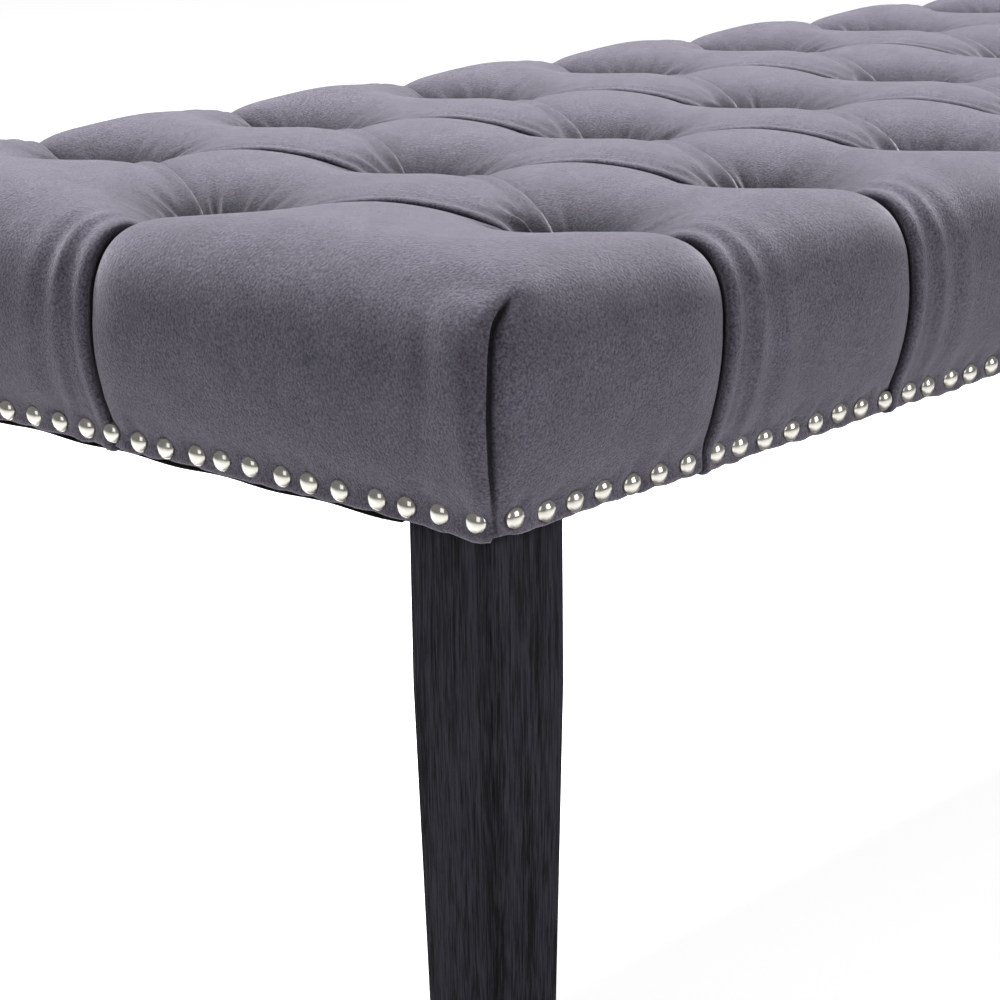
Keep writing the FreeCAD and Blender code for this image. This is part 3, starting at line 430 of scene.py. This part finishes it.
def nail_dents(along, z, row):
    """How far the nails of one row pull the cloth in, with a slight pucker round each."""
    places, heights = row
    k = np.clip(np.searchsorted(places, along), 1, len(places) - 1)
    k = np.where(along - places[k - 1] < places[k] - along, k - 1, k)
    r = np.hypot(along - places[k], z - heights[k])
    fan = np.sin(4 * np.arctan2(z - heights[k], along - places[k]) + k)
    return -DENT_DEEP * bell(r, 0, DENT_WIDE) + PUCKER * fan * bell(r, PUCKER_RING, PUCKER_WIDE)


def cover_points(u, v):
    """Points of the finished cover, and the painted shade of each: its depth in a fold, with more along the
    creases, in the wrinkle hollows and at the lapped corner.
    """
    deep, rise, move_u, move_v, crease_shade = cover_form(u, v)
    base, normal, lap_shade = cover_base(u + move_u, v + move_v)
    x, y, z = base[..., 0], base[..., 1], base[..., 2]
    low = z < NAIL_Z + DENTS_END
    long_side = (np.abs(v) - TOP_Y) >= (np.abs(u) - TOP_X)
    for side, on, along in (("front", long_side & (v < 0), x), ("rear", long_side & (v > 0), x),
                            ("left", ~long_side & (u < 0), y), ("right", ~long_side & (u > 0), y)):
        rise = rise + np.where(low & on, nail_dents(along, z, nail_rows[side]), 0)
    hem = np.clip((NAIL_Z + HEM_FROM - z) / HEM_OVER, 0, 1) * wander(u + v, HEM_SEED, HEM_WAVE_LONG)
    point = base + normal * (rise - deep)[..., None]
    point[..., 2] -= HEM_WAVE * hem
    return point, deep + CREASE_SHADE * crease_shade + lap_shade


vertices, uvs, painted_shades, faces = [], [], [], []
start = 0
for number, (pu, pv) in enumerate(patches):
    point, deep = cover_points(pu, pv)
    index = start + np.arange(pu.size).reshape(pu.shape)
    start += pu.size
    vertices.append(point.reshape(-1, 3))
    uvs.append(np.stack([pu, pv], -1).reshape(-1, 2))
    painted_shades.append(deep.reshape(-1))
    quads = np.stack([index[:-1, :-1], index[1:, :-1], index[1:, 1:], index[:-1, 1:]], -1).reshape(-1, 4)
    faces.append(quads[:, ::-1] if number in TURNED else quads)
vertices, uvs, painted_shades, faces = (np.concatenate(part) for part in (vertices, uvs, painted_shades, faces))

# The patches share their edges. Along a corner the edge of the end's cloth is that of the long
# side's.
past = np.abs(uvs) - (TOP_X, TOP_Y)
on_corner = (past[:, 0] > 1e-6) & (np.abs(past[:, 1]) < 1e-6)
along_side = np.stack([np.full(len(past), TOP_X), TOP_Y + past[:, 0]], -1)
joined = np.where(on_corner[:, None], np.sign(uvs) * along_side, uvs)
_, first, same = np.unique(np.round(joined, 3), axis=0, return_index=True, return_inverse=True)
faces = same.reshape(-1)[faces]
kept = []
for quad in faces:
    corner = [int(c) for k, c in enumerate(quad) if c != quad[k - 1]]
    if len(set(corner)) == len(corner) and len(corner) >= 3:
        kept.append(corner)
mesh = bpy.data.meshes.new("velvet_seat_cover")
mesh.from_pydata((vertices[first] * MM).tolist(), [], kept)
mesh.update()
cover = bpy.data.objects.new("velvet_seat_cover", mesh)
bpy.context.scene.collection.objects.link(cover)
mesh.polygons.foreach_set("use_smooth", [True] * len(mesh.polygons))
# Painted shade for the velvet, kept on each point: its depth in a fold, with more along the creases, in the
# wrinkle hollows and at the lapped corner.
fold_depth = mesh.attributes.new("fold_depth", "FLOAT", "POINT")
fold_depth.data.foreach_set("value", painted_shades[first].astype(np.float32))


def linear(code):
    """sRGB hex colour as the linear values that a shader takes."""
    parts = [int(code[k : k + 2], 16) / 255 for k in (1, 3, 5)]
    return tuple(c / 12.92 if c <= 0.04045 else ((c + 0.055) / 1.055) ** 2.4 for c in parts) + (1.0,)


def add_node(material, kind, settings=None, **links):
    """Adds a node. A setting is the stops of a ramp, a property, or an input's value. A link names an
    input, with _ for a space, or i and its number, and comes from a socket or a node's first output."""
    node = material.node_tree.nodes.new(kind)

    def socket_of(name):
        numbered = name[0] == "i" and name[1:].isdigit()
        return node.inputs[int(name[1:])] if numbered else node.inputs[name.replace("_", " ")]

    for name, value in (settings or {}).items():
        if isinstance(value, str) and value[0] == "#":
            value = linear(value)
        if name == "stops":
            for element, (position, code) in zip(node.color_ramp.elements, value):
                element.position, element.color = position, linear(code)
        elif hasattr(node, name):
            setattr(node, name, value)
        else:
            socket_of(name).default_value = value
    for name, source in links.items():
        material.node_tree.links.new(getattr(source, "outputs", [source])[0], socket_of(name))
    return node


def new_finish(name):
    material = bpy.data.materials.new(name)
    material.use_nodes = True
    material.node_tree.nodes.clear()
    return material


# Cotton velvet with a short, dense pile: matt face on and pale at a grazing angle. Its colour is
# darkened by painted shade in the folds, creases and lapped corner. Its nap would be too fine to show, so
# it is drawn about 1.2 mm coarse.
NAP_PER_M, MOTTLE_PER_M = 860.0, 45.0
NAP_TALL = 1.3
velvet = new_finish("short_pile_cotton_velvet")
place = add_node(velvet, "ShaderNodeTexCoord").outputs["Object"]
nap = add_node(
    velvet, "ShaderNodeTexNoise", {"Scale": NAP_PER_M, "Detail": 4.0, "Roughness": 0.7}, Vector=place)
tone = add_node(velvet, "ShaderNodeValToRGB", {"stops": [(0.36, "#35333C"), (0.66, "#615E69")]}, Fac=nap)
mottle = add_node(
    velvet, "ShaderNodeTexNoise", {"Scale": MOTTLE_PER_M, "Detail": 5.0, "Roughness": 0.65}, Vector=place)
brushed = add_node(
    velvet, "ShaderNodeMapRange", {"From Min": 0.3, "From Max": 0.7, "To Min": 0.84, "To Max": 1.14},
    Value=mottle)
# Painted shade: the colour keeps its full value up to a painted fold shade of 6 and falls to 0.12 of it at
# 25 and beyond.
depth = add_node(velvet, "ShaderNodeAttribute", {"attribute_name": "fold_depth"}).outputs["Fac"]
painted_darkening = add_node(
    velvet, "ShaderNodeMapRange", {"From Min": 6.0, "From Max": 25.0, "To Min": 1.0, "To Max": 0.12},
    Value=depth)
level = add_node(velvet, "ShaderNodeMath", {"operation": "MULTIPLY"}, i0=brushed, i1=painted_darkening)
shade = add_node(velvet, "ShaderNodeVectorMath", {"operation": "SCALE"}, i0=tone, Scale=level)
bump = add_node(velvet, "ShaderNodeBump", {"Strength": 0.55, "Distance": NAP_TALL * MM}, Height=nap)
pile = add_node(velvet, "ShaderNodeBsdfPrincipled", {
    "Roughness": 0.9, "Specular IOR Level": 0.1, "Sheen Weight": 0.8, "Sheen Roughness": 0.34,
    "Sheen Tint": "#DAD6E1"}, Base_Color=shade, Normal=bump)
add_node(velvet, "ShaderNodeOutputMaterial", Surface=pile)
mesh.materials.append(velvet)
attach(cover, "root")
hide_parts("velvet_cover", "wadding", "foam_pad")


# Tuft buttons. Round button blanks covered in the same velvet, drawn down to the bottom of each
# tuft by twine, which is tied over a dowel under the deck. The twine is waxed linen, about 2 mm
# thick, and its strands show as slanting lines.
def dress(material, *names):
    """Give the carried-over solids of these nodes a finish."""
    for name in names:
        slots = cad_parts[name].data.materials
        if not slots:
            slots.append(material)
        for k in range(len(slots)):
            slots[k] = material


dress(velvet, "tuft_buttons")

STRANDS_PER_M = 400.0
linen_twine = new_finish("waxed_linen_twine")
place = add_node(linen_twine, "ShaderNodeTexCoord").outputs["Object"]
strands = add_node(
    linen_twine, "ShaderNodeTexWave",
    {"Scale": STRANDS_PER_M, "Distortion": 2.0, "bands_direction": "DIAGONAL"}, Vector=place).outputs["Fac"]
tone = add_node(linen_twine, "ShaderNodeValToRGB", {"stops": [(0, "#9C8A6A"), (1, "#CDBE9C")]}, Fac=strands)
bump = add_node(linen_twine, "ShaderNodeBump", {"Strength": 0.4, "Distance": 0.0003}, Height=strands)
fibre = add_node(linen_twine, "ShaderNodeBsdfPrincipled", {"Roughness": 0.6}, Base_Color=tone, Normal=bump)
add_node(linen_twine, "ShaderNodeOutputMaterial", Surface=fibre)
dress(linen_twine, "button_twines")


# Frame. Sawn hardwood rails, corner blocks, cross slats and toggles, glued and screwed, with a
# plywood deck on top. The wood is planed but left raw, since the cover hides it.
GRAIN_PER_M = (3.0, 60.0, 60.0)
PORES_PER_M = (20.0, 900.0, 900.0)


def wood_finish(name, dark, light, ring_scale):
    """Raw planed wood: long wavy grain lines and short pores along X."""
    material = new_finish(name)
    place = add_node(material, "ShaderNodeTexCoord").outputs["Object"]
    grain_space = add_node(material, "ShaderNodeMapping", {"Scale": GRAIN_PER_M}, Vector=place)
    figure = add_node(
        material, "ShaderNodeTexNoise", {"Scale": ring_scale, "Detail": 5.0, "Distortion": 0.8},
        Vector=grain_space)
    pore_space = add_node(material, "ShaderNodeMapping", {"Scale": PORES_PER_M}, Vector=place)
    pores = add_node(material, "ShaderNodeTexNoise", {"Scale": 1.0, "Detail": 2.0}, Vector=pore_space)
    mixed = add_node(
        material, "ShaderNodeMath", {"operation": "MULTIPLY_ADD", "i1": 0.35}, i0=pores, i2=figure)
    tone = add_node(material, "ShaderNodeValToRGB", {"stops": [(0.45, dark), (0.9, light)]}, Fac=mixed)
    bump = add_node(material, "ShaderNodeBump", {"Strength": 0.3, "Distance": 0.0004}, Height=pores)
    board = add_node(
        material, "ShaderNodeBsdfPrincipled", {"Roughness": 0.62}, Base_Color=tone, Normal=bump)
    add_node(material, "ShaderNodeOutputMaterial", Surface=board)
    return material


raw_beech = wood_finish("raw_planed_beech", "#A9825A", "#D2B083", 1.0)
birch_plywood = wood_finish("birch_plywood", "#B08B5E", "#DCC59C", 0.6)
CORNERS = ["front_left", "front_right", "rear_right", "rear_left"]
dress(raw_beech, "front_rail", "rear_rail", "left_end_rail", "right_end_rail")
dress(raw_beech, "left_cross_slat", "right_cross_slat", "twine_toggles")
dress(raw_beech, *[corner + "_corner_block" for corner in CORNERS])
dress(birch_plywood, "seat_deck")


# Steel fasteners: wood screws, hanger bolts with their tee nuts, and staples. Bright zinc plate,
# slightly grained from tumbling, which softens its reflections.
SPANGLE_PER_M = 700.0
zinc_steel = new_finish("zinc_plated_steel")
place = add_node(zinc_steel, "ShaderNodeTexCoord").outputs["Object"]
spangle = add_node(zinc_steel, "ShaderNodeTexNoise", {"Scale": SPANGLE_PER_M, "Detail": 2.0}, Vector=place)
rough = add_node(zinc_steel, "ShaderNodeMapRange", {"To Min": 0.22, "To Max": 0.42}, Value=spangle)
tone = add_node(zinc_steel, "ShaderNodeValToRGB", {"stops": [(0, "#9EA2A6"), (1, "#C9CCCE")]}, Fac=spangle)
plate = add_node(
    zinc_steel, "ShaderNodeBsdfPrincipled", {"Metallic": 1.0}, Base_Color=tone, Roughness=rough)
add_node(zinc_steel, "ShaderNodeOutputMaterial", Surface=plate)
dress(zinc_steel, "frame_screws", "deck_screws", "hanger_bolts", "tee_nuts", "dust_cover_staples")


# Decorative nails. Domed heads of polished nickel on steel, driven by hand along the rails at
# about 18 mm, so their spacing is never quite even. Handling leaves faint duller patches.
HEAD_RADIUS, HEAD_TALL = 5.1, 3.4
SHANK_RADIUS, SHANK_LONG = 0.8, 12
HEAD_SINK, NAIL_TILT = 0.3, 0.05
DOME_SEGMENTS, DOME_RINGS, SHANK_SIDES = 20, 12, 8
WEAR_PER_M = 350.0

nickel = new_finish("polished_nickel")
place = add_node(nickel, "ShaderNodeTexCoord").outputs["Object"]
wear = add_node(nickel, "ShaderNodeTexNoise", {"Scale": WEAR_PER_M, "Detail": 3.0}, Vector=place)
rough = add_node(
    nickel, "ShaderNodeMapRange", {"From Min": 0.3, "From Max": 0.7, "To Min": 0.1, "To Max": 0.24},
    Value=wear)
tone = add_node(nickel, "ShaderNodeValToRGB", {"stops": [(0, "#B9B4AB"), (1, "#D8D5CE")]}, Fac=wear)
bump = add_node(nickel, "ShaderNodeBump", {"Strength": 0.12, "Distance": 0.0004}, Height=wear)
polish = add_node(
    nickel, "ShaderNodeBsdfPrincipled", {"Metallic": 1.0}, Base_Color=tone, Roughness=rough, Normal=bump)
add_node(nickel, "ShaderNodeOutputMaterial", Surface=polish)


def nail_tree():
    """Instances a domed head and its shank on every point, turned to the point's facing."""
    tree = bpy.data.node_groups.new("decorative_nails", "GeometryNodeTree")
    tree.interface.new_socket("Geometry", in_out="INPUT", socket_type="NodeSocketGeometry")
    for name in ("Head radius", "Head height", "Shank radius", "Shank length"):
        tree.interface.new_socket(name, in_out="INPUT", socket_type="NodeSocketFloat")
    tree.interface.new_socket("Finish", in_out="INPUT", socket_type="NodeSocketMaterial")
    tree.interface.new_socket("Geometry", in_out="OUTPUT", socket_type="NodeSocketGeometry")
    link = tree.links.new

    def node(kind, **settings):
        made = tree.nodes.new(kind)
        for name, value in settings.items():
            setattr(made, name, value)
        return made

    given = node("NodeGroupInput")
    dome = node("GeometryNodeMeshUVSphere")
    dome.inputs["Segments"].default_value = DOME_SEGMENTS
    dome.inputs["Rings"].default_value = DOME_RINGS
    link(given.outputs["Head radius"], dome.inputs["Radius"])
    ratio = node("ShaderNodeMath", operation="DIVIDE")
    link(given.outputs["Head height"], ratio.inputs[0])
    link(given.outputs["Head radius"], ratio.inputs[1])
    squash = node("ShaderNodeCombineXYZ")
    squash.inputs["X"].default_value = squash.inputs["Y"].default_value = 1
    link(ratio.outputs[0], squash.inputs["Z"])
    head = node("GeometryNodeTransform")
    link(dome.outputs["Mesh"], head.inputs["Geometry"])
    link(squash.outputs[0], head.inputs["Scale"])
    shank = node("GeometryNodeMeshCylinder")
    shank.inputs["Vertices"].default_value = SHANK_SIDES
    link(given.outputs["Shank radius"], shank.inputs["Radius"])
    link(given.outputs["Shank length"], shank.inputs["Depth"])
    half = node("ShaderNodeMath", operation="MULTIPLY")
    half.inputs[1].default_value = -0.5
    link(given.outputs["Shank length"], half.inputs[0])
    sink = node("ShaderNodeCombineXYZ")
    link(half.outputs[0], sink.inputs["Z"])
    driven = node("GeometryNodeTransform")
    link(shank.outputs["Mesh"], driven.inputs["Geometry"])
    link(sink.outputs[0], driven.inputs["Translation"])
    nail = node("GeometryNodeJoinGeometry")
    link(head.outputs["Geometry"], nail.inputs[0])
    link(driven.outputs["Geometry"], nail.inputs[0])
    facing = node("GeometryNodeInputNamedAttribute", data_type="FLOAT_VECTOR")
    facing.inputs["Name"].default_value = "facing"
    turn = node("FunctionNodeAlignRotationToVector", axis="Z")
    link(facing.outputs[0], turn.inputs["Vector"])
    put = node("GeometryNodeInstanceOnPoints")
    link(given.outputs["Geometry"], put.inputs["Points"])
    link(nail.outputs[0], put.inputs["Instance"])
    link(turn.outputs[0], put.inputs["Rotation"])
    real = node("GeometryNodeRealizeInstances")
    link(put.outputs[0], real.inputs[0])
    smooth = node("GeometryNodeSetShadeSmooth")
    link(real.outputs[0], smooth.inputs[0])
    finish = node("GeometryNodeSetMaterial")
    link(smooth.outputs[0], finish.inputs["Geometry"])
    link(given.outputs["Finish"], finish.inputs["Material"])
    link(finish.outputs[0], node("NodeGroupOutput").inputs[0])
    return tree


nails_by_row = nail_tree()
nail_sizes = {
    "Head radius": HEAD_RADIUS * MM, "Head height": HEAD_TALL * MM,
    "Shank radius": SHANK_RADIUS * MM, "Shank length": SHANK_LONG * MM, "Finish": nickel}
OUTWARD = {"front": (0, -1), "rear": (0, 1), "left": (-1, 0), "right": (1, 0)}
for side, (places, heights) in nail_rows.items():
    out = OUTWARD[side]
    points = []
    for along, z in zip(places, heights):
        x = out[0] * (HALF_X - HEAD_SINK) if out[0] else along
        y = out[1] * (HALF_Y - HEAD_SINK) if out[1] else along
        points.append((x * MM, y * MM, z * MM))
    seeds = bpy.data.meshes.new(side + "_nail_places")
    seeds.from_pydata(points, [], [])
    facing = seeds.attributes.new("facing", "FLOAT_VECTOR", "POINT")
    ways = np.array([out + (0.0,)] * len(points)) + chance.normal(0, NAIL_TILT, (len(points), 3))
    facing.data.foreach_set("vector", ways.astype(np.float32).ravel())
    holder = bpy.data.objects.new(side + "_nail_places", seeds)
    bpy.context.scene.collection.objects.link(holder)
    modifier = holder.modifiers.new("nails", "NODES")
    modifier.node_group = nails_by_row
    for item in nails_by_row.interface.items_tree:
        if item.in_out == "INPUT" and item.name in nail_sizes:
            modifier[item.identifier] = nail_sizes[item.name]
    evaluated = holder.evaluated_get(bpy.context.evaluated_depsgraph_get())
    nail_mesh = bpy.data.meshes.new_from_object(evaluated)
    holder.modifiers.clear()
    bpy.data.objects.remove(holder)
    nails = bpy.data.objects.new(side + "_nickel_nails", nail_mesh)
    bpy.context.scene.collection.objects.link(nails)
    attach(nails, "root")
    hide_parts(side + "_nails")


# Legs. Square oak, straight for the top fifth and tapered below, stained charcoal and wire
# brushed, so the soft grain is cut back into dark grooves and the arrises stay crisp. Each foot
# has a glide of moulded black nylon with a fine eggshell skin.
ARRIS, ARRIS_STEPS = 1.3, 4
LEG_STRAIGHT = 72
LEG_RINGS = 48
GROOVES_PER_M = (1300.0, 1300.0, 50.0)
RINGS_PER_M = (120.0, 120.0, 6.0)
SKIN_PER_M = 1800.0

charcoal_oak = new_finish("charcoal_wire_brushed_oak")
place = add_node(charcoal_oak, "ShaderNodeTexCoord").outputs["Object"]
brush_space = add_node(charcoal_oak, "ShaderNodeMapping", {"Scale": GROOVES_PER_M}, Vector=place)
brushing = add_node(
    charcoal_oak, "ShaderNodeTexNoise", {"Scale": 1.0, "Detail": 5.0, "Roughness": 0.62},
    Vector=brush_space)
figure_space = add_node(charcoal_oak, "ShaderNodeMapping", {"Scale": RINGS_PER_M}, Vector=place)
figure = add_node(
    charcoal_oak, "ShaderNodeTexNoise", {"Scale": 1.0, "Detail": 3.0, "Distortion": 0.6},
    Vector=figure_space)
rings = add_node(
    charcoal_oak, "ShaderNodeMapRange", {"From Min": 0.3, "From Max": 0.7, "To Min": 0.1, "To Max": 0.32},
    Value=figure)
both = add_node(
    charcoal_oak, "ShaderNodeMath", {"operation": "MULTIPLY_ADD", "i1": 1.1}, i0=brushing, i2=rings)
tone = add_node(
    charcoal_oak, "ShaderNodeValToRGB", {"stops": [(0.61, "#030304"), (0.9, "#2E2E37")]}, Fac=both)
bump = add_node(charcoal_oak, "ShaderNodeBump", {"Strength": 1.0, "Distance": 0.0008}, Height=both)
stained = add_node(
    charcoal_oak, "ShaderNodeBsdfPrincipled", {"Roughness": 0.7, "Specular IOR Level": 0.1},
    Base_Color=tone, Normal=bump)
add_node(charcoal_oak, "ShaderNodeOutputMaterial", Surface=stained)

glide_plastic = new_finish("moulded_black_nylon")
place = add_node(glide_plastic, "ShaderNodeTexCoord").outputs["Object"]
skin = add_node(glide_plastic, "ShaderNodeTexNoise", {"Scale": SKIN_PER_M}, Vector=place)
tone = add_node(glide_plastic, "ShaderNodeValToRGB", {"stops": [(0, "#17181A"), (1, "#26272A")]}, Fac=skin)
bump = add_node(glide_plastic, "ShaderNodeBump", {"Strength": 0.3, "Distance": 0.0002}, Height=skin)
nylon = add_node(
    glide_plastic, "ShaderNodeBsdfPrincipled", {"Roughness": 0.42}, Base_Color=tone, Normal=bump)
add_node(glide_plastic, "ShaderNodeOutputMaterial", Surface=nylon)

for corner in CORNERS:
    low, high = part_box(corner + "_leg")
    middle = (low + high) / 2
    top_half = (high.x - low.x) / 2
    leg_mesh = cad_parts[corner + "_leg"].data
    foot_half = max(abs(v.co.x - middle.x) for v in leg_mesh.vertices if v.co.z < low.z + MM)
    knee = high.z - LEG_STRAIGHT * MM
    points, sides = [], []
    for ring in range(LEG_RINGS + 1):
        z = high.z + (low.z - high.z) * ring / LEG_RINGS
        share = max(0.0, (knee - z) / (knee - low.z))
        half = top_half + (foot_half - top_half) * share - ARRIS * MM
        for turn in range(4):
            for step in range(ARRIS_STEPS + 1):
                angle = math.radians(90 * turn + 90 * step / ARRIS_STEPS)
                out_x = half * (1 if turn in (0, 3) else -1) + ARRIS * MM * math.cos(angle)
                out_y = half * (1 if turn in (0, 1) else -1) + ARRIS * MM * math.sin(angle)
                points.append((middle.x + out_x, middle.y + out_y, z))
    per = 4 * (ARRIS_STEPS + 1)
    for ring in range(LEG_RINGS):
        for k in range(per):
            a, b = ring * per + k, ring * per + (k + 1) % per
            sides.append((a, a + per, b + per, b))
    sides.append(tuple(range(per)))
    sides.append(tuple(reversed(range(LEG_RINGS * per, LEG_RINGS * per + per))))
    mesh = bpy.data.meshes.new(corner + "_oak_leg")
    mesh.from_pydata(points, [], sides)
    mesh.materials.append(charcoal_oak)
    for face in mesh.polygons:
        face.use_smooth = len(face.vertices) == 4
    leg = bpy.data.objects.new(corner + "_oak_leg", mesh)
    bpy.context.scene.collection.objects.link(leg)
    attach(leg, "root")
    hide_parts(corner + "_leg")
    dress(glide_plastic, corner + "_glide")


# Dust cover. Black non-woven cloth stapled under the rails and cut away round the legs, to keep
# dust and the eye out of the frame. It sags in the middle, its edge droops between staples, and
# the bonded fibres give it a dull, faintly cellular face.
sheet_low, sheet_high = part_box("dust_cover")
leg_low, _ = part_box("rear_right_leg")
CLOTH_STEP, CLOTH_THICK, CLOTH_MIDDLE = 6, 0.4, 0.25
SAG, SAG_X, SAG_Y = 2.0, 200, 80
SCALLOP, SCALLOP_LONG, SCALLOP_DEEP = 3.3, 62, 25
SWAG_LEAST, SWAG_MORE = 0.65, 0.35
SIDE_SWAG = 0.3
LEG_ROOM = 2
FIBRES_PER_M = 420.0
wide, deep_y = (sheet_high.x - sheet_low.x) / MM, (sheet_high.y - sheet_low.y) / MM
across = np.linspace(-wide / 2, wide / 2, int(wide / CLOTH_STEP) + 1)
along = np.linspace(-deep_y / 2, deep_y / 2, int(deep_y / CLOTH_STEP) + 1)
notch_x, notch_y = leg_low.x / MM - LEG_ROOM, leg_low.y / MM - LEG_ROOM
points, quads = [], []
for x in across:
    for y in along:
        hang = SAG * min(1, (wide / 2 - abs(x)) / SAG_X) * min(1, (deep_y / 2 - abs(y)) / SAG_Y)
        near_end = max(0, 1 - (wide / 2 - abs(x)) / SCALLOP_DEEP)
        near_side = SIDE_SWAG * max(0, 1 - (deep_y / 2 - abs(y)) / SCALLOP_DEEP)
        waves = [math.sin(math.pi * c / SCALLOP_LONG) ** 2 for c in (y, x)]
        swag_y, swag_x = (SWAG_LEAST + SWAG_MORE * wave for wave in waves)
        droop = near_end * swag_y + near_side * swag_x
        points.append((x * MM, y * MM, sheet_low.z + (CLOTH_MIDDLE - hang - SCALLOP * droop) * MM))
for i in range(len(across) - 1):
    for j in range(len(along) - 1):
        mid_x, mid_y = abs(across[i] + across[i + 1]) / 2, abs(along[j] + along[j + 1]) / 2
        if mid_x > notch_x and mid_y > notch_y:
            continue
        a = i * len(along) + j
        quads.append((a, a + len(along), a + len(along) + 1, a + 1))
mesh = bpy.data.meshes.new("black_dust_cloth")
mesh.from_pydata(points, [], quads)
cambric = new_finish("black_spunbond_cloth")
place = add_node(cambric, "ShaderNodeTexCoord").outputs["Object"]
fibres = add_node(
    cambric, "ShaderNodeTexVoronoi", {"Scale": FIBRES_PER_M, "feature": "DISTANCE_TO_EDGE"},
    Vector=place).outputs["Distance"]
tone = add_node(cambric, "ShaderNodeValToRGB", {"stops": [(0, "#141415"), (0.2, "#242426")]}, Fac=fibres)
bump = add_node(cambric, "ShaderNodeBump", {"Strength": 0.3, "Distance": 0.0003}, Height=fibres)
cloth = add_node(cambric, "ShaderNodeBsdfPrincipled", {"Roughness": 0.9}, Base_Color=tone, Normal=bump)
add_node(cambric, "ShaderNodeOutputMaterial", Surface=cloth)
mesh.materials.append(cambric)
dust_cloth = bpy.data.objects.new("black_dust_cloth", mesh)
bpy.context.scene.collection.objects.link(dust_cloth)
thick = dust_cloth.modifiers.new("cloth_thickness", "SOLIDIFY")
thick.thickness = CLOTH_THICK * MM
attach(dust_cloth, "root")
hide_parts("dust_cover")


# Studio: a pale floor that shows white to the camera and keeps the bench's shadow, a white
# surround, a broad light from above and behind, and a softer one on each side of the camera.
FLOOR_HALF = 6.0
FLOOR_GLOW = 0.72
SURROUND, SURROUND_SEEN = 0.29, 1.0
floor_mesh = bpy.data.meshes.new("studio_floor")
floor_corners = [(x * FLOOR_HALF, y * FLOOR_HALF, 0) for x, y in ((-1, -1), (1, -1), (1, 1), (-1, 1))]
floor_mesh.from_pydata(floor_corners, [], [(0, 1, 2, 3)])
floor = bpy.data.objects.new("studio_floor", floor_mesh)
bpy.context.scene.collection.objects.link(floor)
paper = new_finish("matt_white_paper")
ray = add_node(paper, "ShaderNodeLightPath").outputs["Is Camera Ray"]
matt = add_node(paper, "ShaderNodeBsdfDiffuse", {"Color": "#E6E6E6"})
glow = add_node(paper, "ShaderNodeEmission", {"Strength": FLOOR_GLOW})
both = add_node(paper, "ShaderNodeAddShader", i0=matt, i1=glow)
pick = add_node(paper, "ShaderNodeMixShader", i0=ray, i1=matt, i2=both)
add_node(paper, "ShaderNodeOutputMaterial", Surface=pick)
floor_mesh.materials.append(paper)
floor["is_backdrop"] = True

world = bpy.data.worlds.new("white_studio")
bpy.context.scene.world = world
world.use_nodes = True
world.node_tree.nodes.clear()
ray = add_node(world, "ShaderNodeLightPath").outputs
through = add_node(
    world, "ShaderNodeMath", {"operation": "MAXIMUM"},
    i0=ray["Is Camera Ray"], i1=ray["Is Transmission Ray"])
strength = add_node(
    world, "ShaderNodeMapRange", {"To Min": SURROUND, "To Max": SURROUND_SEEN}, Value=through)
surround = add_node(world, "ShaderNodeBackground", {"Color": "#FFFFFF"}, Strength=strength)
add_node(world, "ShaderNodeOutputWorld", Surface=surround)


def soft_light(name, place, target, size, power):
    """Square lamp that faces its target, in metres and watts."""
    lamp = bpy.data.lights.new(name, "AREA")
    lamp.shape = "SQUARE"
    lamp.size = size
    lamp.energy = power
    holder = bpy.data.objects.new(name, lamp)
    bpy.context.scene.collection.objects.link(holder)
    holder.location = place
    holder.rotation_mode = "QUATERNION"
    holder.rotation_quaternion = (Vector(target) - Vector(place)).to_track_quat("-Z", "Y")


soft_light("top_softbox", (-0.1, 0.8, 2.3), (-0.1, 0, 0.4), 1.3, 160)
soft_light("left_softbox", (-2.6, -0.9, 1.3), (-0.3, 0, 0.4), 1.4, 8)
soft_light("right_softbox", (0.4, -2.7, 1.3), (-0.3, 0, 0.4), 1.4, 30)

# Camera: a long lens, 16 degrees down and turned 42 degrees from the bench's length, as fitted
# to the nails, the leg and the far edge in the photograph.
YAW, PITCH, ROLL = math.radians(42.35), math.radians(15.92), math.radians(-0.76)
EYE = Vector((-1.3656, -0.9209, 0.6701))
LENS, SENSOR = 99.8, 36
ahead = Vector((math.cos(YAW) * math.cos(PITCH), math.sin(YAW) * math.cos(PITCH), -math.sin(PITCH)))
level = ahead.cross(Vector((0, 0, 1))).normalized()
above = level.cross(ahead)
right = math.cos(ROLL) * level + math.sin(ROLL) * above
up = -math.sin(ROLL) * level + math.cos(ROLL) * above
camera_data = bpy.data.cameras.new("photo_camera")
camera_data.lens = LENS
camera_data.sensor_width = SENSOR
camera_data.clip_start = 0.05
camera_data.clip_end = 60
camera = bpy.data.objects.new("photo_camera", camera_data)
bpy.context.scene.collection.objects.link(camera)
camera.matrix_world = Matrix((
    (right.x, up.x, -ahead.x, EYE.x), (right.y, up.y, -ahead.y, EYE.y),
    (right.z, up.z, -ahead.z, EYE.z), (0, 0, 0, 1)))
bpy.context.scene.camera = camera
bpy.context.scene.view_settings.view_transform = "Standard"

low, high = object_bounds()
